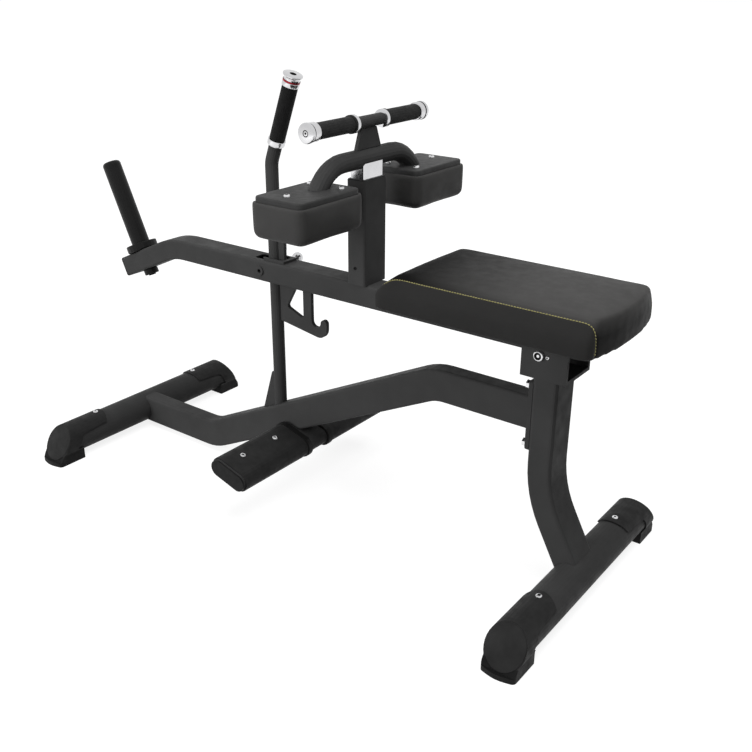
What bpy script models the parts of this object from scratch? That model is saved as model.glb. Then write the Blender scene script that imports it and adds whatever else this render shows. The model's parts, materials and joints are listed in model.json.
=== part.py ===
"""Plate-loaded seated calf raise machine, modelled in metres.

+X points from the weight horn to the seat, +Z is up, and the origin lies on the floor in the
plane of symmetry, midway between the two foot tubes. The user sits at +X and faces -X, so the
user's left is at -Y. The lever, which carries the seat and the knee pads, is at rest on its catch.
"""

import math

import bmesh
import bpy
from mathutils import Matrix, Vector

# Clearance between pieces that touch, and around whatever sits in a bore or a slot.
FIT = 0.0003
# Vertices closer than this are one vertex.
WELD_DISTANCE = 0.00001
# Chamfer on the turned metal pieces.
EDGE = 0.0015
# Drawn size of the empties that mark the joints.
JOINT_MARK_SIZE = 0.05

# Foot tubes and their rubber boots.
FOOT_SPAN = 1.427
FOOT_RADIUS = 0.0425
FOOT_WALL = 0.003
FOOT_HALF_LENGTH = 0.290
FOOT_HEIGHT = 0.054
BOOT_SKIN = 0.0037
BOOT_TONGUE = 0.122
BOOT_SIDE = 0.104
BOOT_UNDER = 0.022
BOOT_EDGE_HEIGHT = 0.080
BOOT_CLAW_HEIGHT = 0.073
BOOT_CLAW_START = 0.024
BOOT_CLAW_ROUND = 0.018
BOOT_CLAW_END = 0.002
BOOT_FACE_OUT = 0.0307
BOOT_FACE_TILT = math.radians(31.0)
BOOT_SOLE_OUT = 0.068
BOOT_SOLE_HALF_WIDTH = 0.040
BOOT_SOLE_HEIGHT = 0.034
BOOT_SOLE_CORNER = 0.010
BOOT_SOLE_BOW = 0.010
BOOT_SOLE_BOW_RADIUS = 0.080
BOOT_TOE_HEIGHT = 0.012

# Main beam and the flange at its rear end.
BEAM_WIDTH = 0.048
BEAM_DEPTH = 0.078
BEAM_CORNER = 0.007
BEAM_WALL = 0.003
BEAM_LOW_BEND_X = -0.4082
BEAM_HIGH_BEND_X = 0.3296
BEAM_BEND_RADIUS = 0.120
FLANGE_THICKNESS = 0.010
FLANGE_HALF_WIDTH = 0.038
FLANGE_HALF_HEIGHT = 0.081
FLANGE_CORNER = 0.008
FLANGE_BELOW_CHANNEL = 0.0178
BOLT_RADIUS = 0.005
BOLT_OFFSET_Y = 0.025
BOLT_OFFSET_Z = 0.0685
BOLT_REACH = 0.012
BOLT_HEAD_RADIUS = 0.0098
BOLT_HEAD_HEIGHT = 0.0075
WASHER_RADIUS = 0.0105
WASHER_THICKNESS = 0.002

# Seat post.
POST_X = 0.6177
POST_DEPTH = 0.0565
POST_WIDTH = 0.0852
POST_CORNER = 0.008
POST_WALL = 0.003
POST_BEND_HEIGHT = 0.235
POST_BEND_RADIUS = 0.290

# Pivot channel, axle and hub.
PIVOT_X = 0.6065
PIVOT_BELOW_ARM = 0.02075
CHANNEL_AHEAD = 0.0415
CHANNEL_BEHIND = 0.063
CHANNEL_BELOW = 0.053
CHANNEL_ABOVE = 0.037
CHANNEL_HALF_WIDTH = 0.0553
CHANNEL_WALL = 0.008
CHANNEL_CORNER = 0.030
AXLE_RADIUS = 0.010
AXLE_HEAD_RADIUS = 0.013
AXLE_HEAD_HEIGHT = 0.008
AXLE_NUT_HEIGHT = 0.014
AXLE_NUT_RADIUS = 0.0173
AXLE_THREAD_OUT = 0.004
HUB_RADIUS = 0.022
HUB_EDGE = 0.001

# Lever arm.
ARM_WIDTH = 0.066
ARM_DEPTH = 0.0535
ARM_CORNER = 0.006
ARM_WALL = 0.003
ARM_HEIGHT = 0.58575
ARM_BEHIND_PIVOT = 0.0475
ARM_BEND_X = -0.5085
ARM_BEND_RADIUS = 0.200
ARM_TIP_LENGTH = 0.220
ARM_TIP_ANGLE = math.radians(24.0)
SLOT_FRONT_X = -0.215
SLOT_REAR_X = -0.120
SLOT_HALF_WIDTH = 0.019
SLOT_CORNER = 0.008
PLATE_SLOT_REAR_X = 0.015
PLATE_SLOT_HALF_WIDTH = 0.009
PLATE_SLOT_CORNER = 0.004
CATCH_SLOT_PLAY = 0.012
CATCH_SLOT_SIDE_PLAY = 0.0008
CATCH_SLOT_CORNER = 0.003
PLUG_FLANGE = 0.003
PLUG_DEPTH = 0.015

# Weight horn with its collar and nut.
HORN_RADIUS = 0.025
HORN_WALL = 0.003
HORN_LENGTH = 0.255
HORN_ROUND = 0.010
HORN_FROM_BEND = 0.157
HORN_STUB_RADIUS = 0.010
HORN_STUB_BORE = 0.004
HORN_STUB_OUT = 0.003
COLLAR_RADIUS = 0.043
COLLAR_HEIGHT = 0.020
COLLAR_ROUND = 0.003
HORN_NUT_RADIUS = 0.020
HORN_NUT_HEIGHT = 0.016

# Upright post with its hook plate, gusset, catch and grip.
UPRIGHT_X = -0.1614
UPRIGHT_RADIUS = 0.0162
UPRIGHT_WALL = 0.0025
UPRIGHT_BEND_ABOVE_ARM = 0.26625
UPRIGHT_BEND_RADIUS = 0.060
UPRIGHT_LEAN = math.radians(20.4)
HOOK_THICKNESS = 0.010
HOOK_STRIP_REAR_X = -0.1275
HOOK_STRIP_ABOVE = 0.06425
HOOK_BAR_FRONT_X = -0.0695
HOOK_BAR_REAR_X = -0.0435
HOOK_PLATE_ABOVE = 0.01725
HOOK_CUP_REAR_X = -0.0145
HOOK_CUP_BELOW = 0.12275
HOOK_TIP_BELOW = 0.09975
HOOK_TIP_X = 0.0045
HOOK_FRONT_BELOW = 0.12975
HOOK_REAR_BELOW = 0.15325
HOOK_TOE_ROUND = 0.026
HOOK_CORNER = 0.006
WINDOW_FRONT_X = -0.1240
WINDOW_FRONT_BELOW = 0.08825
WINDOW_LOW_BELOW = 0.11075
WINDOW_TOP_ABOVE = 0.00925
WINDOW_CORNER = 0.007
GUSSET_THICKNESS = 0.008
GUSSET_ABOVE_BEAM = 0.1279
GUSSET_TOP_WIDTH = 0.008
GUSSET_FOOT_X = -0.2205
CATCH_INNER_Y = 0.006
CATCH_FROM_WALL = 0.004
CATCH_FRONT_X = -0.1945
CATCH_BELOW = 0.01975
CATCH_ABOVE = 0.00425
RING_START = 0.045
RING_RADIUS = 0.0215
RING_LENGTH = 0.015
UPRIGHT_GRIP_RADIUS = 0.019
UPRIGHT_GRIP_LENGTH = 0.132
GRIP_EDGE = 0.002
UPRIGHT_CAP_RADIUS = 0.0235
UPRIGHT_CAP_LENGTH = 0.0285
UPRIGHT_CAP_ROUND = 0.0015
UPRIGHT_CAP_END = 0.010
CAP_DISC_HEIGHT = 0.004
CAP_FLARE_HEIGHT = 0.006
CAP_NECK_RADIUS = 0.0195
CAP_RING_RADIUS = 0.0208
CAP_RING_HEIGHT = 0.011

# Footrest tube.
REST_X = -0.0835
REST_BELOW_BEAM = 0.0621
REST_TILT = math.radians(17.0)
REST_WIDTH = 0.109
REST_DEPTH = 0.043
REST_WALL = 0.0025
REST_HALF_LENGTH = 0.2800
WRAP_INNER_Y = 0.035
WRAP_OUTER_Y = 0.275
WRAP_THICKNESS = 0.0035
REST_PLUG_FLANGE = 0.004
REST_PLUG_DEPTH = 0.015

# Spring pin that parks the lever.
LOCK_X = -0.1845
PIN_RADIUS = 0.005
LOCK_TIP_Y = 0.0178
LOCK_BUSH_RADIUS = 0.012
LOCK_BUSH_PROUD = 0.0035
LOCK_BUSH_BODY = 0.0085
HOUSING_RADIUS = 0.0115
HOUSING_FLANGE_RADIUS = 0.0145
HOUSING_FLANGE = 0.004
HOUSING_INSIDE = 0.0025
LOCK_HOUSING_END_Y = 0.080
LOCK_KNOB_Y = 0.108
KNOB_RADIUS = 0.015
KNOB_NECK_RADIUS = 0.008
STOP_PIN_X = -0.028
STOP_PIN_RADIUS = 0.0125

# Slot guide on top of the arm.
GUIDE_FRONT_X = -0.180
GUIDE_REAR_X = -0.112
GUIDE_HALF_WIDTH = 0.025
GUIDE_HEIGHT = 0.006
GUIDE_SIDE_PLAY = 0.0018
GUIDE_END_PLAY = 0.0055
GUIDE_CORNER = 0.003
GUIDE_INNER_CORNER = 0.010

# Knee post, its liner and the height pin.
KNEE_POST_X = 0.1245
KNEE_POST_DEPTH = 0.050
KNEE_POST_WIDTH = 0.0827
KNEE_POST_CORNER = 0.006
KNEE_POST_WALL = 0.003
KNEE_POST_ABOVE_ARM = 0.2401
LINER_DEPTH = 0.0626
LINER_LIP = 0.0015
LINER_LIP_INSET = 0.0007
HEIGHT_PIN_BELOW_TOP = 0.0926
HEIGHT_HOUSING_LENGTH = 0.038
HEIGHT_KNOB_OUT = 0.070

# Yoke that carries the knee pads and the handlebar.
YOKE_DEPTH = 0.040
YOKE_WIDTH = 0.072
YOKE_CORNER = 0.005
YOKE_WALL = 0.0025
YOKE_ABOVE_ARM = 0.0275
YOKE_HOLE_PITCH = 0.025
YOKE_HOLE_COUNT = 5
YOKE_HOLE_RADIUS = 0.0055
ARCH_RADIUS = 0.021
ARCH_WALL = 0.003
ARCH_ABOVE_POST = 0.0444
ARCH_BEND_Y = 0.1323
ARCH_BEND_ANGLE = math.radians(50.0)
ARCH_BEND_RADIUS = 0.095
PAD_FRONT_X = 0.0525
PAD_REAR_X = 0.1955
PAD_INNER_Y = 0.097
PAD_OUTER_Y = 0.304
PAD_HEIGHT = 0.0735
PAD_END_ROUND = 0.015
PAD_SIDE_ROUND = 0.005
PAD_CROWN = 0.003
PAD_PLATE_MARGIN = 0.007
PAD_PLATE_BELOW_ARCH = 0.040
PAD_PLATE_THICKNESS = 0.012
PAD_PLATE_CORNER = 0.014
BRACKET_THICKNESS = 0.009
BRACKET_FOOT_HALF_WIDTH = 0.043
BRACKET_TOP_HALF_WIDTH = 0.027
BAR_X = 0.127
BAR_ABOVE_ARCH = 0.0785
BAR_RADIUS = 0.013
BAR_WALL = 0.0025
BAR_RING_INNER_Y = 0.0476
BAR_RING_LENGTH = 0.0097
BAR_RING_RADIUS = 0.020
BAR_GRIP_RADIUS = 0.0175
BAR_GRIP_LENGTH = 0.1207
BAR_GRIP_FLANGE_RADIUS = 0.020
BAR_GRIP_FLANGE_LENGTH = 0.006
BAR_CAP_RADIUS = 0.0213
BAR_CAP_LENGTH = 0.028
BAR_CAP_ROUND = 0.003
BAR_CAP_END = 0.0066
BAR_CAP_FACE_LENGTH = 0.0084
BAR_CAP_GROOVE_WIDTH = 0.003
BAR_CAP_GROOVE_RADIUS = 0.0185
BAR_CAP_RING_RADIUS = 0.0203

# Seat.
MOUNT_FRONT_X = 0.330
MOUNT_REAR_X = 0.690
MOUNT_HALF_WIDTH = 0.060
MOUNT_THICKNESS = 0.004
MOUNT_CORNER = 0.010
SEAT_HEIGHT = 0.078
SEAT_FRONT_X = 0.252
SEAT_TOP_FRONT_X = 0.298
SEAT_REAR_X = 0.7755
SEAT_BOTTOM_HALF_WIDTH = 0.1535
SEAT_SHOULDER_HALF_WIDTH = 0.152
SEAT_TOP_HALF_WIDTH = 0.128
SEAT_SHOULDER_DROP = 0.038
SEAT_CROWN = 0.004
SEAT_END_BOW = 0.022
BOARD_THICKNESS = 0.014
BOARD_MARGIN = 0.030
BOARD_CORNER = 0.020

# Values that follow from the sizes above.
FOOT_X = FOOT_SPAN / 2
ARM_TOP = ARM_HEIGHT + ARM_DEPTH / 2
ARM_REAR_X = PIVOT_X + ARM_BEHIND_PIVOT
PIVOT_Z = ARM_HEIGHT - PIVOT_BELOW_ARM
CHANNEL_FRONT_X = PIVOT_X - CHANNEL_AHEAD
CHANNEL_REAR_X = PIVOT_X + CHANNEL_BEHIND
CHANNEL_BOTTOM = PIVOT_Z - CHANNEL_BELOW
CHANNEL_TOP = PIVOT_Z + CHANNEL_ABOVE
BEAM_REAR_HEIGHT = CHANNEL_BOTTOM - FLANGE_BELOW_CHANNEL - FLANGE_HALF_HEIGHT
BEAM_SLOPE = math.atan2(BEAM_REAR_HEIGHT - FOOT_HEIGHT, BEAM_HIGH_BEND_X - BEAM_LOW_BEND_X)
POST_FRONT_X = POST_X - POST_DEPTH / 2
FLANGE_REAR_X = POST_FRONT_X - FIT
FLANGE_FRONT_X = FLANGE_REAR_X - FLANGE_THICKNESS
UPRIGHT_BEND_HEIGHT = ARM_HEIGHT + UPRIGHT_BEND_ABOVE_ARM
LEAN = Vector((math.sin(UPRIGHT_LEAN), 0.0, math.cos(UPRIGHT_LEAN)))
LEAN_BASE = Vector((UPRIGHT_X, 0.0, UPRIGHT_BEND_HEIGHT))
TIP_ALONG = Vector((-math.cos(ARM_TIP_ANGLE), 0.0, -math.sin(ARM_TIP_ANGLE)))
TIP_UP = Vector((-math.sin(ARM_TIP_ANGLE), 0.0, math.cos(ARM_TIP_ANGLE)))
ARM_BEND = Vector((ARM_BEND_X, 0.0, ARM_HEIGHT))
ARM_TIP = ARM_BEND + TIP_ALONG * ARM_TIP_LENGTH
HORN_BASE = ARM_BEND + TIP_ALONG * HORN_FROM_BEND
GRIP_START = RING_START + RING_LENGTH + FIT
CAP_START = GRIP_START + UPRIGHT_GRIP_LENGTH + FIT
UPRIGHT_TOP = CAP_START + UPRIGHT_CAP_LENGTH - UPRIGHT_CAP_END
LOCK_Z = ARM_HEIGHT
CATCH_OUTER_Y = ARM_WIDTH / 2 - ARM_WALL - CATCH_FROM_WALL
KNEE_POST_FRONT_X = KNEE_POST_X - KNEE_POST_DEPTH / 2
KNEE_POST_TOP = ARM_TOP + KNEE_POST_ABOVE_ARM
LINER_BOTTOM = KNEE_POST_TOP - LINER_DEPTH
HEIGHT_PIN_Z = KNEE_POST_TOP - HEIGHT_PIN_BELOW_TOP
YOKE_BOTTOM = ARM_TOP + YOKE_ABOVE_ARM
ARCH_HEIGHT = KNEE_POST_TOP + ARCH_ABOVE_POST
YOKE_FRONT_X = KNEE_POST_X - YOKE_DEPTH / 2
PAD_PLATE_TOP = ARCH_HEIGHT - PAD_PLATE_BELOW_ARCH
PAD_TOP = PAD_PLATE_TOP - PAD_PLATE_THICKNESS - FIT
PAD_BOTTOM = PAD_TOP - PAD_HEIGHT
SEAT_BOTTOM = ARM_TOP + FIT + MOUNT_THICKNESS + FIT
SEAT_TOP = SEAT_BOTTOM + SEAT_HEIGHT
BAR_HEIGHT = ARCH_HEIGHT + BAR_ABOVE_ARCH
BAR_GRIP_INNER_Y = BAR_RING_INNER_Y + BAR_RING_LENGTH + FIT
BAR_CAP_INNER_Y = BAR_GRIP_INNER_Y + BAR_GRIP_LENGTH + FIT
BAR_HALF_LENGTH = BAR_CAP_INNER_Y + BAR_CAP_LENGTH - BAR_CAP_END

AXIS_X = Vector((1.0, 0.0, 0.0))
AXIS_Y = Vector((0.0, 1.0, 0.0))
LEFT = -1
RIGHT = 1

# Colour, roughness and metallic value of each material.
MATERIALS = {
    "frame_paint": ((0.052, 0.052, 0.055), 0.55, 0.25),
    "satin_black": ((0.018, 0.018, 0.019), 0.42, 0.20),
    "black_rubber": ((0.016, 0.016, 0.017), 0.78, 0.0),
    "black_plastic": ((0.020, 0.020, 0.021), 0.50, 0.0),
    "grip_foam": ((0.014, 0.014, 0.015), 0.85, 0.0),
    "chrome": ((0.82, 0.83, 0.84), 0.12, 1.0),
    "bright_steel": ((0.62, 0.63, 0.65), 0.28, 1.0),
    "vinyl": ((0.050, 0.048, 0.048), 0.60, 0.0),
    "seat_board": ((0.030, 0.027, 0.024), 0.80, 0.0),
}


def clear_scene():
    """Remove what is in the scene, and the collections left empty by that."""
    for item in list(bpy.data.objects):
        bpy.data.objects.remove(item, do_unlink=True)
    for group in list(bpy.data.collections):
        bpy.data.collections.remove(group)


def new_collection(name):
    """Make a collection in the scene."""
    group = bpy.data.collections.new(name)
    bpy.context.scene.collection.children.link(group)
    return group


def make_material(name):
    """Make one Principled material from the table."""
    colour, roughness, metallic = MATERIALS[name]
    material = bpy.data.materials.new(name)
    material.use_nodes = True
    shader = material.node_tree.nodes["Principled BSDF"]
    shader.inputs["Base Color"].default_value = (*colour, 1.0)
    shader.inputs["Roughness"].default_value = roughness
    shader.inputs["Metallic"].default_value = metallic
    return material


def add_mesh(name, bm, matrix=None):
    """Turn a bmesh into an object in the parts collection."""
    mesh = bpy.data.meshes.new(name)
    bm.normal_update()
    bm.to_mesh(mesh)
    bm.free()
    item = bpy.data.objects.new(name, mesh)
    if matrix is not None:
        item.matrix_world = matrix
    PARTS.objects.link(item)
    return item


def axis_matrix(centre, axis):
    """Matrix that lays a local Z axis along the given axis at the centre."""
    rotation = axis.to_track_quat("Z", "Y").to_matrix().to_4x4()
    return Matrix.Translation(centre) @ rotation


def box(name, size, centre, round_edges=0.0, segments=2):
    """A box, with rounded edges where a radius is given."""
    bm = bmesh.new()
    bmesh.ops.create_cube(bm, size=1.0)
    bmesh.ops.scale(bm, vec=size, verts=bm.verts)
    item = add_mesh(name, bm, Matrix.Translation(centre))
    if round_edges > 0.0:
        bevel = item.modifiers.new("rounded edges", "BEVEL")
        bevel.width = round_edges
        bevel.segments = segments
        bevel.limit_method = "ANGLE"
    return item


def cylinder(name, radius, start, end, segments=32):
    """A solid cylinder between two points."""
    start = Vector(start)
    end = Vector(end)
    bm = bmesh.new()
    bmesh.ops.create_cone(
        bm, cap_ends=True, segments=segments, radius1=radius, radius2=radius, depth=(end - start).length
    )
    return add_mesh(name, bm, axis_matrix((start + end) / 2, (end - start).normalized()))


def turned(name, profile, base, axis, steps=24, closed=False):
    """A turned piece from (radius, height) points that run down its outer side."""
    bm = bmesh.new()
    points = [bm.verts.new((radius, 0.0, height)) for radius, height in profile]
    for first, second in zip(points, points[1:]):
        bm.edges.new((first, second))
    if closed:
        bm.edges.new((points[-1], points[0]))
    item = add_mesh(name, bm, axis_matrix(Vector(base), axis.normalized()))
    screw = item.modifiers.new("turned", "SCREW")
    screw.steps = steps
    screw.render_steps = steps
    screw.use_merge_vertices = True
    screw.merge_threshold = WELD_DISTANCE
    return item


def sleeve_profile(outer, inner, bottom, top, chamfer):
    """Closed profile of a ring or a tube with chamfered outer edges."""
    return [
        (inner, top),
        (outer - chamfer, top),
        (outer, top - chamfer),
        (outer, bottom + chamfer),
        (outer - chamfer, bottom),
        (inner, bottom),
    ]


def filleted(corners, segments=6, cyclic=True):
    """Replace each (x, y, radius) corner by an arc of that radius."""
    count = len(corners)
    points = []
    for index, (x, y, radius) in enumerate(corners):
        corner = Vector((x, y))
        is_end = not cyclic and index in (0, count - 1)
        if radius <= 0.0 or is_end:
            points.append(corner)
            continue
        before = (Vector(corners[index - 1][:2]) - corner).normalized()
        after = (Vector(corners[(index + 1) % count][:2]) - corner).normalized()
        half_turn = (math.pi - before.angle(after)) / 2
        centre = corner + (before + after).normalized() * (radius / math.cos(half_turn))
        first = corner + before * (radius * math.tan(half_turn)) - centre
        sweep = math.copysign(2 * half_turn, before.cross(after) * -1.0)
        for step in range(segments + 1):
            turn = Matrix.Rotation(sweep * step / segments, 2)
            points.append(centre + turn @ first)
    return points


def moved(outline, x, y=0.0):
    """Shift an outline."""
    return [point + Vector((x, y)) for point in outline]


def add_spline(curve, points, cyclic):
    """Add a polyline spline to a curve."""
    spline = curve.splines.new("POLY")
    spline.points.add(len(points) - 1)
    for target, point in zip(spline.points, points):
        coordinates = tuple(point) + (0.0,) * (3 - len(point))
        target.co = (*coordinates, 1.0)
    spline.use_cyclic_u = cyclic


def curve_to_mesh(item):
    """Replace a curve object by a welded mesh object of the same name and place."""
    graph = bpy.context.evaluated_depsgraph_get()
    mesh = bpy.data.meshes.new_from_object(item.evaluated_get(graph))
    bm = bmesh.new()
    bm.from_mesh(mesh)
    bmesh.ops.remove_doubles(bm, verts=bm.verts, dist=WELD_DISTANCE)
    bmesh.ops.recalc_face_normals(bm, faces=bm.faces)
    bm.to_mesh(mesh)
    bm.free()
    name = item.name
    matrix = item.matrix_world.copy()
    curve = item.data
    bpy.data.objects.remove(item)
    bpy.data.curves.remove(curve)
    result = bpy.data.objects.new(name, mesh)
    mesh.name = name
    result.matrix_world = matrix
    PARTS.objects.link(result)
    return result


SIDE_PLANE = Matrix.Rotation(math.radians(90.0), 4, "X")
END_PLANE = Matrix.Rotation(math.radians(90.0), 4, "Z") @ SIDE_PLANE
FLOOR_PLANE = Matrix.Identity(4)


def plate(name, outline, thickness, plane, offset=0.0, holes=()):
    """A flat plate: an outline, with holes, drawn in a plane and given a thickness."""
    curve = bpy.data.curves.new(name, "CURVE")
    curve.dimensions = "2D"
    curve.fill_mode = "BOTH"
    curve.extrude = thickness / 2
    add_spline(curve, outline, True)
    for hole in holes:
        add_spline(curve, hole, True)
    item = bpy.data.objects.new(name, curve)
    PARTS.objects.link(item)
    item.matrix_world = plane @ Matrix.Translation((0.0, 0.0, offset))
    bpy.context.view_layer.update()
    return curve_to_mesh(item)


def rounded_rectangle(width, height, corner, segments=3):
    """Outline of a rectangle with rounded corners, centred on its own origin."""
    half_width = width / 2
    half_height = height / 2
    corners = [
        (-half_width, -half_height, corner),
        (half_width, -half_height, corner),
        (half_width, half_height, corner),
        (-half_width, half_height, corner),
    ]
    return filleted(corners, segments)


def swept(name, path, outline, plane, wall=0.0):
    """A profile swept along a flat path, as a bar or, with a wall, as an open tube."""
    profile = bpy.data.curves.new(name + " profile", "CURVE")
    profile.dimensions = "2D"
    add_spline(profile, outline, True)
    guide = bpy.data.objects.new(name + " profile", profile)
    CUTTERS.objects.link(guide)
    curve = bpy.data.curves.new(name, "CURVE")
    curve.dimensions = "2D"
    curve.bevel_mode = "OBJECT"
    curve.bevel_object = guide
    curve.use_fill_caps = wall <= 0.0
    add_spline(curve, path, False)
    item = bpy.data.objects.new(name, curve)
    PARTS.objects.link(item)
    item.matrix_world = plane
    bpy.context.view_layer.update()
    item = curve_to_mesh(item)
    bpy.data.objects.remove(guide)
    bpy.data.curves.remove(profile)
    if wall > 0.0:
        hollow(item, wall)
    return item


def hollow(item, wall):
    """Give an open surface a wall that grows inwards."""
    solidify = item.modifiers.new("wall", "SOLIDIFY")
    solidify.thickness = wall
    solidify.offset = -1.0
    solidify.use_even_offset = True


def circle_outline(radius, sides):
    """Outline of a regular polygon that stands for a circle."""
    turn = 2 * math.pi / sides
    return [Vector((radius * math.cos(turn * n), radius * math.sin(turn * n))) for n in range(sides)]


def cut(item, cutter):
    """Take one shape out of another."""
    boolean(item, cutter, "DIFFERENCE")


def join(item, other):
    """Fuse another shape into this one."""
    boolean(item, other, "UNION")


def boolean(item, other, operation):
    """Combine two shapes, and keep the second as a hidden guide."""
    modifier = item.modifiers.new(other.name, "BOOLEAN")
    modifier.operation = operation
    modifier.solver = "EXACT"
    modifier.object = other
    PARTS.objects.unlink(other)
    CUTTERS.objects.link(other)
    other.hide_render = True
    other.display_type = "WIRE"


def finish(item, material, parent, smooth=True):
    """Give a piece its material, parent and shading."""
    item.data.materials.clear()
    item.data.materials.append(MATERIAL[material])
    if smooth:
        item.data.shade_smooth()
        item.data.set_sharp_from_angle(angle=math.radians(35.0))
    matrix = item.matrix_world.copy()
    item.parent = parent
    item.matrix_parent_inverse = parent.matrix_world.inverted()
    item.matrix_world = matrix


def joint_empty(name, location, parent=None):
    """An empty on a joint's axis."""
    empty = bpy.data.objects.new(name, None)
    empty.empty_display_size = JOINT_MARK_SIZE
    PARTS.objects.link(empty)
    if parent is not None:
        empty.parent = parent
        empty.matrix_parent_inverse = parent.matrix_world.inverted()
    empty.matrix_world = Matrix.Translation(location)
    bpy.context.view_layer.update()
    return empty


def beam_height(x):
    """Height of the sloping beam's centreline."""
    return FOOT_HEIGHT + math.tan(BEAM_SLOPE) * (x - BEAM_LOW_BEND_X)


def beam_top(x):
    """Height just above the sloping beam's upper face."""
    return beam_height(x) + (BEAM_DEPTH / 2 + FIT) / math.cos(BEAM_SLOPE)


def beam_path(start_x, end_x):
    """Centreline of the main beam, from the front foot to the flange."""
    corners = [
        (start_x, FOOT_HEIGHT, 0.0),
        (BEAM_LOW_BEND_X, FOOT_HEIGHT, BEAM_BEND_RADIUS),
        (BEAM_HIGH_BEND_X, BEAM_REAR_HEIGHT, BEAM_BEND_RADIUS),
        (end_x, BEAM_REAR_HEIGHT, 0.0),
    ]
    return filleted(corners, 4, cyclic=False)


def beam_cutter(name):
    """The beam's outer form with its clearance, for what is coped to it."""
    outline = rounded_rectangle(BEAM_DEPTH + 2 * FIT, BEAM_WIDTH + 2 * FIT, BEAM_CORNER)
    return swept(name, beam_path(-FOOT_X, FLANGE_FRONT_X), outline, SIDE_PLANE)


def foot_cutter(name, x):
    """A foot tube's outer form with its clearance."""
    reach = BEAM_WIDTH + POST_WIDTH
    return cylinder(name, FOOT_RADIUS + FIT, (x, -reach, FOOT_HEIGHT), (x, reach, FOOT_HEIGHT), 48)


def across(name, radius, x, z, inner_y, outer_y, segments=32):
    """A solid cylinder that lies along Y."""
    return cylinder(name, radius, (x, inner_y, z), (x, outer_y, z), segments)


def make_foot_tube(name, x):
    """One round foot tube, open at both ends."""
    inner = FOOT_RADIUS - FOOT_WALL
    profile = [
        (inner, FOOT_HALF_LENGTH),
        (FOOT_RADIUS, FOOT_HALF_LENGTH),
        (FOOT_RADIUS, -FOOT_HALF_LENGTH),
        (inner, -FOOT_HALF_LENGTH),
    ]
    tube = turned(name, profile, (x, 0.0, FOOT_HEIGHT), AXIS_Y, 32, closed=True)
    finish(tube, "frame_paint", FRAME)


def boot_face(z):
    """Distance from the middle to the boot's sloping outer face at a height."""
    return FOOT_HALF_LENGTH + BOOT_FACE_OUT + math.tan(BOOT_FACE_TILT) * (FOOT_HEIGHT - z)


def boot_tongue_outline(foot_x, side, radius, inner_end):
    """Plan of what is taken off the sleeve to leave a rounded tongue on top."""
    side_y = FOOT_HALF_LENGTH - BOOT_SIDE
    tongue_y = FOOT_HALF_LENGTH - BOOT_TONGUE
    steps = 12
    outline = [(foot_x - radius * 1.2, side * inner_end), (foot_x - radius * 1.2, side * side_y)]
    for step in range(steps + 1):
        across_share = 2.0 * step / steps - 1.0
        y = side_y - (side_y - tongue_y) * (1.0 - across_share**2)
        outline.append((foot_x + across_share * radius, side * y))
    outline.append((foot_x + radius * 1.2, side * side_y))
    outline.append((foot_x + radius * 1.2, side * inner_end))
    return outline


def make_boot(name, foot_x, side):
    """A rubber boot: a sleeve with a tongue on top, a sloping face and a flat sole with a toe."""
    radius = FOOT_RADIUS + FIT + BOOT_SKIN
    start = FOOT_HALF_LENGTH - BOOT_TONGUE
    inner_end = start - FOOT_RADIUS / 2
    sleeve_end = boot_face(BOOT_TOE_HEIGHT) + BOOT_SKIN
    toe_end = FOOT_HALF_LENGTH + BOOT_SOLE_OUT
    boot = cylinder(
        name, radius, (foot_x, side * start, FOOT_HEIGHT), (foot_x, side * sleeve_end, FOOT_HEIGHT), 32
    )
    half_width = BOOT_SOLE_HALF_WIDTH
    corner_end = toe_end - BOOT_SOLE_BOW
    sole_outline = filleted(
        [
            (foot_x - half_width, side * (FOOT_HALF_LENGTH - BOOT_UNDER), 0.0),
            (foot_x + half_width, side * (FOOT_HALF_LENGTH - BOOT_UNDER), 0.0),
            (foot_x + half_width, side * corner_end, BOOT_SOLE_CORNER),
            (foot_x, side * toe_end, BOOT_SOLE_BOW_RADIUS),
            (foot_x - half_width, side * corner_end, BOOT_SOLE_CORNER),
        ],
        4,
    )
    sole = plate(name + " sole", sole_outline, BOOT_SOLE_HEIGHT, FLOOR_PLANE, BOOT_SOLE_HEIGHT / 2)
    join(boot, sole)
    above = FOOT_HEIGHT + 2 * radius
    face_outline = [
        (side * boot_face(BOOT_TOE_HEIGHT), BOOT_TOE_HEIGHT),
        (side * (toe_end + radius), BOOT_TOE_HEIGHT),
        (side * (toe_end + radius), above),
        (side * boot_face(above), above),
    ]
    cut(boot, plate(name + " face", face_outline, 4 * radius, END_PLANE, foot_x))
    under_outline = filleted(
        [
            (side * inner_end, BOOT_EDGE_HEIGHT, 0.0),
            (side * (FOOT_HALF_LENGTH - BOOT_CLAW_START), BOOT_CLAW_HEIGHT, BOOT_CLAW_ROUND),
            (side * (FOOT_HALF_LENGTH - BOOT_CLAW_END), BOOT_SOLE_HEIGHT, 0.0),
            (side * (FOOT_HALF_LENGTH - BOOT_UNDER), BOOT_SOLE_HEIGHT, 0.0),
            (side * (FOOT_HALF_LENGTH - BOOT_UNDER), -radius, 0.0),
            (side * inner_end, -radius, 0.0),
        ],
        6,
    )
    cut(boot, plate(name + " underside", under_outline, 4 * radius, END_PLANE, foot_x))
    tongue = boot_tongue_outline(foot_x, side, radius, inner_end)
    cut(boot, plate(name + " tongue", tongue, 4 * radius, FLOOR_PLANE, FOOT_HEIGHT))
    bore_end = FOOT_HALF_LENGTH + FIT
    bore = across(
        name + " bore", FOOT_RADIUS + FIT, foot_x, FOOT_HEIGHT, side * inner_end, side * bore_end, 32
    )
    cut(boot, bore)
    finish(boot, "black_rubber", FRAME)


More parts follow.
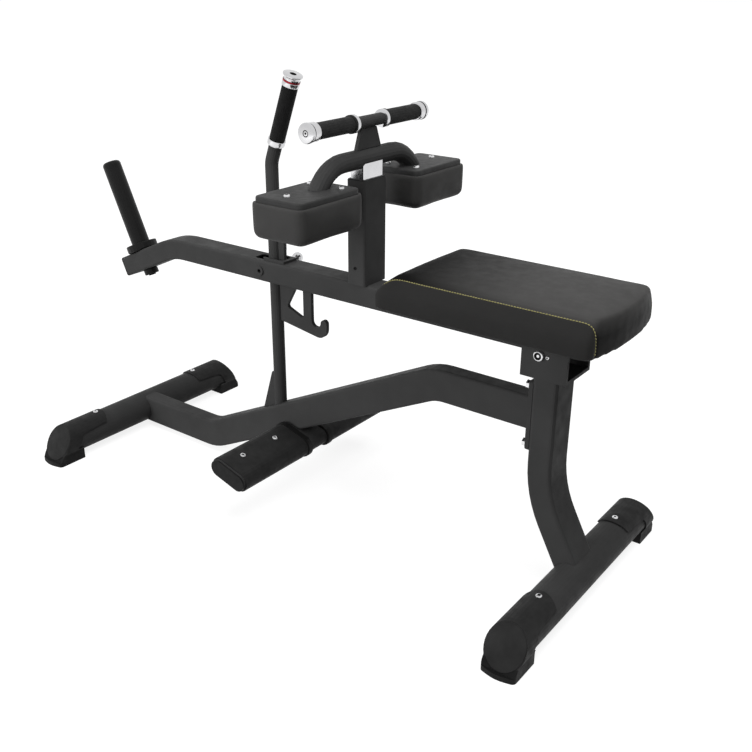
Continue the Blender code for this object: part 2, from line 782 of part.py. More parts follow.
def make_main_beam():
    """The bent beam, coped to the front foot, with its bolting flange at the rear."""
    outline = rounded_rectangle(BEAM_DEPTH, BEAM_WIDTH, BEAM_CORNER)
    flange_middle = (FLANGE_FRONT_X + FLANGE_REAR_X) / 2
    path = beam_path(-FOOT_X + FOOT_RADIUS / 4, flange_middle)
    beam = swept("main_beam", path, outline, SIDE_PLANE, BEAM_WALL)
    cut(beam, foot_cutter("beam cope", -FOOT_X))
    holes = []
    for side_y in (-BOLT_OFFSET_Y, BOLT_OFFSET_Y):
        for side_z in (-BOLT_OFFSET_Z, BOLT_OFFSET_Z):
            ring = circle_outline(BOLT_RADIUS + FIT, 16)
            holes.append([point + Vector((side_y, side_z)) for point in ring])
    flange = plate(
        "flange",
        rounded_rectangle(2 * FLANGE_HALF_WIDTH, 2 * FLANGE_HALF_HEIGHT, FLANGE_CORNER),
        FLANGE_THICKNESS,
        Matrix.Translation((0.0, 0.0, BEAM_REAR_HEIGHT)) @ END_PLANE,
        flange_middle,
        holes,
    )
    join(beam, flange)
    finish(beam, "frame_paint", FRAME)


def make_flange_bolt(name, y, z):
    """A hexagon bolt with its washer, through the flange and the seat post's front wall."""
    washer_face = FLANGE_FRONT_X - FIT
    bolt = cylinder(
        name, BOLT_RADIUS, (washer_face - WASHER_THICKNESS, y, z), (FLANGE_REAR_X + BOLT_REACH, y, z), 16
    )
    washer = cylinder(
        name + " washer", WASHER_RADIUS, (washer_face - WASHER_THICKNESS, y, z), (washer_face, y, z), 24
    )
    head_end = washer_face - WASHER_THICKNESS - BOLT_HEAD_HEIGHT
    head = cylinder(
        name + " head", BOLT_HEAD_RADIUS, (head_end, y, z), (washer_face - WASHER_THICKNESS / 2, y, z), 6
    )
    join(bolt, washer)
    join(bolt, head)
    finish(bolt, "bright_steel", FRAME)


def make_seat_post():
    """The post under the pivot, bent rearwards and coped to the rear foot."""
    top = CHANNEL_BOTTOM - FIT
    down = Vector((FOOT_X - POST_X, FOOT_HEIGHT - POST_BEND_HEIGHT)).normalized()
    end = Vector((FOOT_X, FOOT_HEIGHT)) - down * (FOOT_RADIUS / 2)
    corners = [
        (POST_X, top, 0.0),
        (POST_X, POST_BEND_HEIGHT, POST_BEND_RADIUS),
        (end.x, end.y, 0.0),
    ]
    outline = rounded_rectangle(POST_DEPTH, POST_WIDTH, POST_CORNER)
    post = swept("seat_post", filleted(corners, 6, cyclic=False), outline, SIDE_PLANE, POST_WALL)
    cut(post, foot_cutter("post cope", FOOT_X))
    for side_y in (-BOLT_OFFSET_Y, BOLT_OFFSET_Y):
        for side_z in (-BOLT_OFFSET_Z, BOLT_OFFSET_Z):
            z = BEAM_REAR_HEIGHT + side_z
            hole = cylinder(
                "post bolt hole", BOLT_RADIUS + FIT, (FLANGE_FRONT_X, side_y, z), (POST_X, side_y, z), 16
            )
            cut(post, hole)
    finish(post, "frame_paint", FRAME)


def make_pivot_channel():
    """The U-shaped channel whose two plates carry the pivot axle."""
    corners = [
        (CHANNEL_FRONT_X, CHANNEL_BOTTOM, 0.0),
        (CHANNEL_REAR_X, CHANNEL_BOTTOM, 0.0),
        (CHANNEL_REAR_X, CHANNEL_TOP, CHANNEL_CORNER),
        (CHANNEL_FRONT_X, CHANNEL_TOP, CHANNEL_CORNER),
    ]
    channel = plate("pivot_channel", filleted(corners, 8), 2 * CHANNEL_HALF_WIDTH, SIDE_PLANE)
    inner_half_width = CHANNEL_HALF_WIDTH - CHANNEL_WALL
    length = CHANNEL_REAR_X - CHANNEL_FRONT_X
    height = CHANNEL_TOP - CHANNEL_BOTTOM
    inside = box(
        "channel inside",
        (2 * length, 2 * inner_half_width, height),
        ((CHANNEL_FRONT_X + CHANNEL_REAR_X) / 2, 0.0, CHANNEL_BOTTOM + CHANNEL_WALL + height / 2),
    )
    cut(channel, inside)
    reach = 2 * CHANNEL_HALF_WIDTH
    cut(channel, across("channel axle hole", AXLE_RADIUS + FIT, PIVOT_X, PIVOT_Z, -reach, reach))
    finish(channel, "frame_paint", FRAME)


def make_pivot_axle():
    """The axle with its round head on the left, and the nut on the right."""
    face = CHANNEL_HALF_WIDTH + FIT
    end = face + AXLE_NUT_HEIGHT + AXLE_THREAD_OUT
    profile = [
        (0.0, end),
        (AXLE_RADIUS - EDGE, end),
        (AXLE_RADIUS, end - EDGE),
        (AXLE_RADIUS, -face),
        (AXLE_HEAD_RADIUS, -face),
        (AXLE_HEAD_RADIUS, -face - AXLE_HEAD_HEIGHT + EDGE),
        (AXLE_HEAD_RADIUS - EDGE, -face - AXLE_HEAD_HEIGHT),
        (0.0, -face - AXLE_HEAD_HEIGHT),
    ]
    axle = turned("pivot_axle", profile, (PIVOT_X, 0.0, PIVOT_Z), AXIS_Y)
    finish(axle, "bright_steel", FRAME)
    nut = across("pivot_nut", AXLE_NUT_RADIUS, PIVOT_X, PIVOT_Z, face, face + AXLE_NUT_HEIGHT, 6)
    cut(nut, across("nut bore", AXLE_RADIUS + FIT, PIVOT_X, PIVOT_Z, 0.0, 2 * end))
    finish(nut, "bright_steel", FRAME, smooth=False)


def make_upright():
    """The round upright with its leaning top, and the open catch that the lock pin rests in."""
    top = LEAN_BASE + LEAN * UPRIGHT_TOP
    corners = [
        (UPRIGHT_X, beam_height(UPRIGHT_X), 0.0),
        (UPRIGHT_X, UPRIGHT_BEND_HEIGHT, UPRIGHT_BEND_RADIUS),
        (top.x, top.z, 0.0),
    ]
    path = filleted(corners, 4, cyclic=False)
    upright = swept("upright_post", path, circle_outline(UPRIGHT_RADIUS, 20), SIDE_PLANE, UPRIGHT_WALL)
    cut(upright, beam_cutter("upright cope"))
    catch_height = CATCH_ABOVE + CATCH_BELOW
    catch = box(
        "catch",
        (UPRIGHT_X - CATCH_FRONT_X, CATCH_OUTER_Y - CATCH_INNER_Y, catch_height),
        (
            (UPRIGHT_X + CATCH_FRONT_X) / 2,
            (CATCH_OUTER_Y + CATCH_INNER_Y) / 2,
            LOCK_Z + (CATCH_ABOVE - CATCH_BELOW) / 2,
        ),
    )
    core_radius = UPRIGHT_RADIUS - UPRIGHT_WALL / 2
    core_low = (UPRIGHT_X, 0.0, LOCK_Z - catch_height)
    core_high = (UPRIGHT_X, 0.0, LOCK_Z + catch_height)
    cut(catch, cylinder("catch core", core_radius, core_low, core_high, 24))
    slot = PIN_RADIUS + FIT
    reach = 2 * CATCH_OUTER_Y
    cut(catch, across("catch seat", slot, LOCK_X, LOCK_Z, 0.0, reach, 24))
    mouth = box("catch mouth", (2 * slot, reach, 2 * slot), (LOCK_X, reach / 2, LOCK_Z + slot))
    cut(catch, mouth)
    join(upright, catch)
    finish(upright, "frame_paint", FRAME)


def make_hook_plate():
    """The flat plate behind the upright, with its window and the cup that stops the lever."""
    front = UPRIGHT_X + UPRIGHT_RADIUS + FIT
    tip_round = (HOOK_TIP_X - HOOK_CUP_REAR_X) / 2 * 0.999
    cup_round = (HOOK_CUP_REAR_X - HOOK_BAR_REAR_X) / 2 * 0.95
    corners = [
        (front, -HOOK_FRONT_BELOW, 0.0),
        (HOOK_TIP_X, -HOOK_REAR_BELOW, HOOK_TOE_ROUND),
        (HOOK_TIP_X, -HOOK_TIP_BELOW, tip_round),
        (HOOK_CUP_REAR_X, -HOOK_TIP_BELOW, tip_round),
        (HOOK_CUP_REAR_X, -HOOK_CUP_BELOW, cup_round),
        (HOOK_BAR_REAR_X, -HOOK_CUP_BELOW, cup_round),
        (HOOK_BAR_REAR_X, HOOK_PLATE_ABOVE, HOOK_CORNER),
        (HOOK_STRIP_REAR_X, HOOK_PLATE_ABOVE, HOOK_CORNER),
        (HOOK_STRIP_REAR_X, HOOK_STRIP_ABOVE, HOOK_CORNER),
        (front, HOOK_STRIP_ABOVE, 0.0),
    ]
    window = [
        (WINDOW_FRONT_X, -WINDOW_FRONT_BELOW, WINDOW_CORNER),
        (HOOK_BAR_FRONT_X, -WINDOW_LOW_BELOW, WINDOW_CORNER),
        (HOOK_BAR_FRONT_X, WINDOW_TOP_ABOVE, WINDOW_CORNER),
    ]
    outline = moved(filleted(corners, 6), 0.0, ARM_HEIGHT)
    hole = moved(filleted(window, 4), 0.0, ARM_HEIGHT)
    hook = plate("hook_plate", outline, HOOK_THICKNESS, SIDE_PLANE, holes=[hole])
    finish(hook, "frame_paint", FRAME)


def make_gusset():
    """The small gusset in front of the upright's foot."""
    rear = UPRIGHT_X - UPRIGHT_RADIUS - FIT
    top = beam_height(UPRIGHT_X) + GUSSET_ABOVE_BEAM
    outline = [
        (GUSSET_FOOT_X, beam_top(GUSSET_FOOT_X)),
        (rear, beam_top(rear)),
        (rear, top),
        (rear - GUSSET_TOP_WIDTH, top),
    ]
    finish(plate("post_gusset", outline, GUSSET_THICKNESS, SIDE_PLANE), "frame_paint", FRAME)


def round_over(radius, top, rounding, segments=4):
    """Profile points that round a turned piece's upper edge, from the top outwards."""
    points = []
    for step in range(segments + 1):
        angle = math.pi / 2 * (1.0 - step / segments)
        x = radius - rounding + rounding * math.cos(angle)
        points.append((x, top - rounding + rounding * math.sin(angle)))
    return points


def make_upright_handle():
    """The ring, the grip and the cap on the upright's leaning top."""
    bore = UPRIGHT_RADIUS + FIT
    ring = sleeve_profile(RING_RADIUS, bore, RING_START, RING_START + RING_LENGTH, EDGE)
    finish(turned("upright_ring", ring, LEAN_BASE, LEAN, closed=True), "chrome", FRAME)
    grip_end = GRIP_START + UPRIGHT_GRIP_LENGTH
    grip = sleeve_profile(UPRIGHT_GRIP_RADIUS, bore, GRIP_START, grip_end, GRIP_EDGE)
    finish(turned("upright_grip", grip, LEAN_BASE, LEAN, closed=True), "grip_foam", FRAME)
    end = CAP_START + UPRIGHT_CAP_LENGTH
    disc_bottom = end - CAP_DISC_HEIGHT
    ring_top = CAP_START + CAP_RING_HEIGHT
    cap = [(0.0, end)]
    cap += round_over(UPRIGHT_CAP_RADIUS, end, UPRIGHT_CAP_ROUND)
    cap += [
        (UPRIGHT_CAP_RADIUS, disc_bottom),
        (CAP_NECK_RADIUS, disc_bottom - CAP_FLARE_HEIGHT),
        (CAP_NECK_RADIUS, ring_top),
        (CAP_RING_RADIUS, ring_top),
        (CAP_RING_RADIUS, CAP_START),
        (bore, CAP_START),
        (bore, UPRIGHT_TOP + FIT),
        (0.0, UPRIGHT_TOP + FIT),
    ]
    finish(turned("upright_cap", cap, LEAN_BASE, LEAN), "chrome", FRAME)


def flat_oval(width, depth, segments=10):
    """Outline of a flat oval tube, tilted and placed where the footrest lies."""
    radius = depth / 2
    straight = (width - depth) / 2
    tilt = Matrix.Rotation(-REST_TILT, 2)
    outline = []
    for end in (1, -1):
        for step in range(segments + 1):
            angle = math.pi * (step / segments - 0.5)
            point = Vector((straight + radius * math.cos(angle), radius * math.sin(angle))) * end
            outline.append(tilt @ point + Vector((REST_X, beam_height(REST_X) - REST_BELOW_BEAM)))
    return outline


def make_footrest():
    """The flat oval footrest tube, its two rubber wraps and its end plugs."""
    inner_width = REST_WIDTH - 2 * REST_WALL
    inner_depth = REST_DEPTH - 2 * REST_WALL
    outer = flat_oval(REST_WIDTH, REST_DEPTH)
    inner = flat_oval(inner_width, inner_depth)
    tube = plate("footrest_tube", outer, 2 * REST_HALF_LENGTH, SIDE_PLANE, holes=[inner])
    cut(tube, beam_cutter("footrest cope"))
    finish(tube, "frame_paint", FRAME)
    wrap_outer = flat_oval(REST_WIDTH + 2 * (FIT + WRAP_THICKNESS), REST_DEPTH + 2 * (FIT + WRAP_THICKNESS))
    wrap_inner = flat_oval(REST_WIDTH + 2 * FIT, REST_DEPTH + 2 * FIT)
    wrap_length = WRAP_OUTER_Y - WRAP_INNER_Y
    wrap_middle = (WRAP_OUTER_Y + WRAP_INNER_Y) / 2
    plug_inner = flat_oval(inner_width - 2 * FIT, inner_depth - 2 * FIT)
    flange_start = REST_HALF_LENGTH + FIT
    plug_length = REST_PLUG_DEPTH + REST_PLUG_FLANGE / 2
    plug_middle = flange_start + REST_PLUG_FLANGE / 2 - plug_length / 2
    for word, side in (("left", LEFT), ("right", RIGHT)):
        wrap = plate(
            f"footrest_wrap_{word}", wrap_outer, wrap_length, SIDE_PLANE, -side * wrap_middle, [wrap_inner]
        )
        finish(wrap, "black_rubber", FRAME)
        plug = plate(
            f"footrest_plug_{word}",
            outer,
            REST_PLUG_FLANGE,
            SIDE_PLANE,
            -side * (flange_start + REST_PLUG_FLANGE / 2),
        )
        body = plate(f"plug body {word}", plug_inner, plug_length, SIDE_PLANE, -side * plug_middle)
        join(plug, body)
        finish(plug, "black_plastic", FRAME)


def slot_plate(name, front_x, rear_x, half_width, corner, z, y=0.0):
    """A cutter for a slot through a wall at a height."""
    outline = rounded_rectangle(rear_x - front_x, 2 * half_width, corner)
    centre = Vector(((front_x + rear_x) / 2, y))
    return plate(name, [point + centre for point in outline], 4 * ARM_WALL, FLOOR_PLANE, z)


def make_lever_arm():
    """The bent lever arm with its slots for the upright and the hook plate."""
    corners = [
        (ARM_REAR_X, ARM_HEIGHT, 0.0),
        (ARM_BEND_X, ARM_HEIGHT, ARM_BEND_RADIUS),
        (ARM_TIP.x, ARM_TIP.z, 0.0),
    ]
    outline = rounded_rectangle(ARM_DEPTH, ARM_WIDTH, ARM_CORNER)
    arm = swept("lever_arm", filleted(corners, 6, cyclic=False), outline, SIDE_PLANE, ARM_WALL)
    reach = ARM_WIDTH
    half = ARM_WIDTH / 2
    bottom = ARM_HEIGHT - ARM_DEPTH / 2
    cut(arm, across("arm hub hole", HUB_RADIUS + FIT, PIVOT_X, PIVOT_Z, -reach, reach, 40))
    for z in (ARM_TOP, bottom):
        slot = slot_plate("arm slot", SLOT_FRONT_X, SLOT_REAR_X, SLOT_HALF_WIDTH, SLOT_CORNER, z)
        cut(arm, slot)
    plate_slot = slot_plate(
        "arm plate slot", UPRIGHT_X, PLATE_SLOT_REAR_X, PLATE_SLOT_HALF_WIDTH, PLATE_SLOT_CORNER, bottom
    )
    cut(arm, plate_slot)
    catch_half_width = CATCH_OUTER_Y / 2 + CATCH_SLOT_SIDE_PLAY
    catch_slot = slot_plate(
        "arm catch slot", CATCH_FRONT_X - CATCH_SLOT_PLAY, UPRIGHT_X + CATCH_SLOT_PLAY, catch_half_width,
        CATCH_SLOT_CORNER, bottom, catch_half_width,
    )
    cut(arm, catch_slot)
    stub = HORN_STUB_RADIUS + FIT
    cut(arm, cylinder("arm horn hole", stub, HORN_BASE - TIP_UP * reach, HORN_BASE + TIP_UP * reach))
    cut(arm, across("arm bush hole", LOCK_BUSH_BODY + FIT, LOCK_X, LOCK_Z, -half * 1.3, -half * 0.6, 24))
    cut(arm, across("arm lock hole", HOUSING_RADIUS + FIT, LOCK_X, LOCK_Z, half * 0.6, half * 1.3, 24))
    finish(arm, "frame_paint", LEVER)


def make_arm_plug():
    """The plug in the arm's front end."""
    turn = Matrix.Rotation(-ARM_TIP_ANGLE, 4, "Y")
    inner_depth = ARM_DEPTH - 2 * (ARM_WALL + FIT)
    inner_width = ARM_WIDTH - 2 * (ARM_WALL + FIT)
    flange_place = Matrix.Translation(ARM_TIP + TIP_ALONG * (FIT + PLUG_FLANGE / 2)) @ turn @ END_PLANE
    outline = rounded_rectangle(ARM_WIDTH, ARM_DEPTH, ARM_CORNER)
    plug = plate("arm_front_plug", outline, PLUG_FLANGE, flange_place)
    body_place = Matrix.Translation(ARM_TIP - TIP_ALONG * (PLUG_DEPTH / 2 - FIT)) @ turn @ END_PLANE
    inner_outline = rounded_rectangle(inner_width, inner_depth, ARM_CORNER - ARM_WALL)
    join(plug, plate("plug body", inner_outline, PLUG_DEPTH + PLUG_FLANGE, body_place))
    finish(plug, "black_plastic", LEVER)


def make_weight_horn():
    """The plate-loading horn with its collar, and the nut that clamps it to the arm."""
    face = ARM_DEPTH / 2 + FIT
    top = ARM_DEPTH / 2 + HORN_LENGTH
    nut_end = -face - HORN_NUT_HEIGHT
    inner = HORN_RADIUS - HORN_WALL
    horn = [(0.0, top)]
    horn += round_over(HORN_RADIUS, top, HORN_ROUND)
    horn += [
        (HORN_RADIUS, face),
        (HORN_STUB_RADIUS, face),
        (HORN_STUB_RADIUS, nut_end - HORN_STUB_OUT),
        (HORN_STUB_BORE, nut_end - HORN_STUB_OUT),
        (HORN_STUB_BORE, face + 2 * HORN_WALL),
        (inner, face + 2 * HORN_WALL),
        (inner, top - HORN_ROUND),
        (inner - HORN_ROUND + HORN_WALL, top - HORN_WALL),
        (0.0, top - HORN_WALL),
    ]
    finish(turned("weight_horn", horn, HORN_BASE, TIP_UP), "satin_black", LEVER)
    collar = round_over(COLLAR_RADIUS, face + COLLAR_HEIGHT, COLLAR_ROUND, 3)
    collar += [
        (COLLAR_RADIUS, face + COLLAR_ROUND),
        (COLLAR_RADIUS - COLLAR_ROUND, face),
        (HORN_RADIUS + FIT, face),
        (HORN_RADIUS + FIT, face + COLLAR_HEIGHT),
    ]
    finish(turned("horn_collar", collar, HORN_BASE, TIP_UP, closed=True), "satin_black", LEVER)
    nut = sleeve_profile(HORN_NUT_RADIUS, HORN_STUB_RADIUS + FIT, nut_end, -face, EDGE)
    finish(turned("horn_nut", nut, HORN_BASE, TIP_UP, closed=True), "satin_black", LEVER)


def make_hub():
    """The bored hub welded across the arm."""
    half = CHANNEL_HALF_WIDTH - CHANNEL_WALL - FIT
    hub = sleeve_profile(HUB_RADIUS, AXLE_RADIUS + FIT, -half, half, HUB_EDGE)
    finish(turned("pivot_hub", hub, (PIVOT_X, 0.0, PIVOT_Z), AXIS_Y, closed=True), "frame_paint", LEVER)


def make_slot_guide():
    """The forked steel guide on top of the arm, around the upright."""
    play = UPRIGHT_RADIUS + GUIDE_SIDE_PLAY
    inner_rear = HOOK_STRIP_REAR_X + GUIDE_END_PLAY
    corners = [
        (GUIDE_FRONT_X, -GUIDE_HALF_WIDTH, GUIDE_CORNER),
        (GUIDE_REAR_X, -GUIDE_HALF_WIDTH, GUIDE_CORNER),
        (GUIDE_REAR_X, GUIDE_HALF_WIDTH, GUIDE_CORNER),
        (GUIDE_FRONT_X, GUIDE_HALF_WIDTH, GUIDE_CORNER),
        (GUIDE_FRONT_X, play, 0.0),
        (inner_rear, play, GUIDE_INNER_CORNER),
        (inner_rear, -play, GUIDE_INNER_CORNER),
        (GUIDE_FRONT_X, -play, 0.0),
    ]
    guide = plate(
        "slot_guide", filleted(corners, 4), GUIDE_HEIGHT, FLOOR_PLANE, ARM_TOP + FIT + GUIDE_HEIGHT / 2
    )
    finish(guide, "frame_paint", LEVER)


def make_lock():
    """The lever's stop pin, the lock's bush and housing, and the pull pin with its knob."""
    half = ARM_WIDTH / 2 - ARM_WALL - FIT
    stop = across("stop_pin", STOP_PIN_RADIUS, STOP_PIN_X, ARM_HEIGHT, -half, half, 24)
    finish(stop, "bright_steel", LEVER)
    face = ARM_WIDTH / 2 + FIT
    bore = PIN_RADIUS + FIT
    base = (LOCK_X, 0.0, LOCK_Z)
    bush = [
        (bore, -ARM_WIDTH / 2 + 2 * ARM_WALL),
        (LOCK_BUSH_BODY, -ARM_WIDTH / 2 + 2 * ARM_WALL),
        (LOCK_BUSH_BODY, -face),
        (LOCK_BUSH_RADIUS, -face),
        (LOCK_BUSH_RADIUS, -face - LOCK_BUSH_PROUD),
        (bore, -face - LOCK_BUSH_PROUD),
    ]
    finish(turned("lock_bush", bush, base, AXIS_Y, 16, closed=True), "frame_paint", LEVER)
    housing = [
        (bore, LOCK_HOUSING_END_Y),
        (HOUSING_RADIUS - EDGE, LOCK_HOUSING_END_Y),
        (HOUSING_RADIUS, LOCK_HOUSING_END_Y - EDGE),
        (HOUSING_RADIUS, face + HOUSING_FLANGE),
        (HOUSING_FLANGE_RADIUS, face + HOUSING_FLANGE),
        (HOUSING_FLANGE_RADIUS, face),
        (HOUSING_RADIUS, face),
        (HOUSING_RADIUS, half - HOUSING_INSIDE),
        (bore, half - HOUSING_INSIDE),
    ]
    finish(turned("lock_housing", housing, base, AXIS_Y, 16, closed=True), "bright_steel", LEVER)
    pin = knob_pin_profile(LOCK_TIP_Y, LOCK_HOUSING_END_Y, LOCK_KNOB_Y)
    finish(turned("lock_pin", pin, base, AXIS_Y, 16), "chrome", LOCK)


def knob_pin_profile(tip, seat, knob):
    """Profile of a pull pin: ball knob, neck that seats on the housing, and chamfered nose."""
    points = []
    steps = 6
    joint_angle = math.asin(KNOB_NECK_RADIUS / KNOB_RADIUS)
    for step in range(steps + 1):
        angle = (math.pi - joint_angle) * step / steps
        points.append((KNOB_RADIUS * math.sin(angle), knob + KNOB_RADIUS * math.cos(angle)))
    points[0] = (0.0, knob + KNOB_RADIUS)
    points += [
        (KNOB_NECK_RADIUS, seat + FIT),
        (PIN_RADIUS, seat + FIT),
        (PIN_RADIUS, tip + EDGE),
        (PIN_RADIUS - EDGE, tip),
        (0.0, tip),
    ]
    return points


def upright_tube(name, depth, width, corner, wall, x, bottom, top):
    """A rectangular tube that stands upright, open at both ends."""
    outline = rounded_rectangle(depth, width, corner)
    return swept(name, [Vector((x, bottom)), Vector((x, top))], outline, SIDE_PLANE, wall)


def make_knee_post():
    """The knee post on the arm, with the plastic liner in its mouth."""
    post = upright_tube(
        "knee_post", KNEE_POST_DEPTH, KNEE_POST_WIDTH, KNEE_POST_CORNER, KNEE_POST_WALL,
        KNEE_POST_X, ARM_TOP + FIT, KNEE_POST_TOP,
    )
    hole = cylinder(
        "height pin hole",
        PIN_RADIUS + FIT,
        (KNEE_POST_FRONT_X - KNEE_POST_WALL, 0.0, HEIGHT_PIN_Z),
        (KNEE_POST_FRONT_X + 2 * KNEE_POST_WALL, 0.0, HEIGHT_PIN_Z),
        24,
    )
    cut(post, hole)
    finish(post, "frame_paint", LEVER)
    play = 2 * (KNEE_POST_WALL + FIT)
    body = moved(
        rounded_rectangle(KNEE_POST_DEPTH - play, KNEE_POST_WIDTH - play, KNEE_POST_CORNER - KNEE_POST_WALL),
        KNEE_POST_X,
    )
    hole_outline = moved(
        rounded_rectangle(YOKE_DEPTH + 2 * FIT, YOKE_WIDTH + 2 * FIT, YOKE_CORNER), KNEE_POST_X
    )
    lip_start = KNEE_POST_TOP + FIT
    length = lip_start + LINER_LIP / 2 - LINER_BOTTOM
    liner = plate("knee_post_liner", body, length, FLOOR_PLANE, LINER_BOTTOM + length / 2, [hole_outline])
    lip_outline = moved(
        rounded_rectangle(
            KNEE_POST_DEPTH - 2 * LINER_LIP_INSET, KNEE_POST_WIDTH - 2 * LINER_LIP_INSET, KNEE_POST_CORNER
        ),
        KNEE_POST_X,
    )
    lip = plate(
        "liner lip", lip_outline, LINER_LIP, FLOOR_PLANE, lip_start + LINER_LIP / 2, [hole_outline]
    )
    join(liner, lip)
    finish(liner, "black_plastic", LEVER)


def make_height_pin():
    """The height pin's housing on the knee post's front, and the pull pin."""
    face = FIT
    bore = PIN_RADIUS + FIT
    base = (KNEE_POST_FRONT_X, 0.0, HEIGHT_PIN_Z)
    housing = [
        (bore, HEIGHT_HOUSING_LENGTH),
        (HOUSING_RADIUS - EDGE, HEIGHT_HOUSING_LENGTH),
        (HOUSING_RADIUS, HEIGHT_HOUSING_LENGTH - EDGE),
        (HOUSING_RADIUS, face + HOUSING_FLANGE),
        (HOUSING_FLANGE_RADIUS, face + HOUSING_FLANGE),
        (HOUSING_FLANGE_RADIUS, face),
        (bore, face),
    ]
    finish(turned("height_pin_housing", housing, base, -AXIS_X, 16, closed=True), "bright_steel", LEVER)
    tip = KNEE_POST_FRONT_X - YOKE_FRONT_X + FIT
    pin = knob_pin_profile(tip, HEIGHT_HOUSING_LENGTH, HEIGHT_KNOB_OUT)
    finish(turned("height_pin", pin, base, -AXIS_X, 16), "chrome", HEIGHT_PIN)


def make_yoke_tube():
    """The chrome height tube with its row of holes, coped to the arch."""
    tube = upright_tube(
        "yoke_tube", YOKE_DEPTH, YOKE_WIDTH, YOKE_CORNER, YOKE_WALL, KNEE_POST_X, YOKE_BOTTOM,
        ARCH_HEIGHT - ARCH_RADIUS / 7,
    )
    reach = YOKE_WIDTH
    cut(tube, across("yoke cope", ARCH_RADIUS + FIT, KNEE_POST_X, ARCH_HEIGHT, -reach, reach, 48))
    for index in range(YOKE_HOLE_COUNT):
        z = HEIGHT_PIN_Z - index * YOKE_HOLE_PITCH
        hole = cylinder(
            "yoke hole",
            YOKE_HOLE_RADIUS,
            (YOKE_FRONT_X - YOKE_WALL, 0.0, z),
            (YOKE_FRONT_X + 2 * YOKE_WALL, 0.0, z),
            20,
        )
        cut(tube, hole)
    finish(tube, "chrome", YOKE)


def make_arch():
    """The bent tube that carries the two pad plates."""
    reach = (ARCH_HEIGHT - PAD_PLATE_TOP + ARCH_RADIUS) / math.sin(ARCH_BEND_ANGLE)
    end_y = ARCH_BEND_Y + reach * math.cos(ARCH_BEND_ANGLE)
    end_z = ARCH_HEIGHT - reach * math.sin(ARCH_BEND_ANGLE)
    corners = [
        (-end_y, end_z, 0.0),
        (-ARCH_BEND_Y, ARCH_HEIGHT, ARCH_BEND_RADIUS),
        (ARCH_BEND_Y, ARCH_HEIGHT, ARCH_BEND_RADIUS),
        (end_y, end_z, 0.0),
    ]
    plane = END_PLANE @ Matrix.Translation((0.0, 0.0, KNEE_POST_X))
    path = filleted(corners, 5, cyclic=False)
    arch = swept("yoke_arch", path, circle_outline(ARCH_RADIUS, 18), plane, ARCH_WALL)
    depth = 4 * ARCH_RADIUS
    floor = box(
        "arch foot cut",
        (depth, 4 * end_y, depth),
        (KNEE_POST_X, 0.0, PAD_PLATE_TOP + FIT - depth / 2),
    )
    cut(arch, floor)
    finish(arch, "frame_paint", YOKE)


def soft_block(name, cuts, place, level=1):
    """A closed grid whose points are placed by a function, smoothed as upholstery."""
    bm = bmesh.new()
    bmesh.ops.create_cube(bm, size=2.0)
    bmesh.ops.subdivide_edges(bm, edges=bm.edges, cuts=cuts, use_grid_fill=True)
    for vertex in bm.verts:
        u, v, w = (math.sin(value * math.pi / 2) for value in vertex.co)
        vertex.co = place(u, v, w)
    item = add_mesh(name, bm)
    smooth = item.modifiers.new("upholstery", "SUBSURF")
    smooth.levels = level
    smooth.render_levels = level
    return item


def blend(first, second, share):
    """Value between two others."""
    return first + (second - first) * share


def make_pads(word, side):
    """One pad plate and the knee pad under it."""
    middle_x = (PAD_FRONT_X + PAD_REAR_X) / 2
    middle_y = (PAD_INNER_Y + PAD_OUTER_Y) / 2
    length = PAD_REAR_X - PAD_FRONT_X
    width = PAD_OUTER_Y - PAD_INNER_Y
    margin = 2 * PAD_PLATE_MARGIN
    outline = rounded_rectangle(length - margin, width - margin, PAD_PLATE_CORNER)
    board = plate(
        f"pad_plate_{word}", moved(outline, middle_x, side * middle_y), PAD_PLATE_THICKNESS, FLOOR_PLANE,
        PAD_PLATE_TOP - PAD_PLATE_THICKNESS / 2,
    )
    finish(board, "black_plastic", YOKE)

    def place(u, v, w):
        height = (w + 1) / 2
        foot = (1 - height) ** 8
        x = middle_x + u * (length / 2 - PAD_END_ROUND * foot)
        y = side * middle_y + v * (width / 2 - PAD_SIDE_ROUND * foot)
        crown = PAD_CROWN * (1 - u * u) * (1 - v * v) if w < -0.999 else 0.0
        return Vector((x, y, blend(PAD_BOTTOM, PAD_TOP, height) - crown))

    finish(soft_block(f"knee_pad_{word}", 3, place), "vinyl", YOKE)


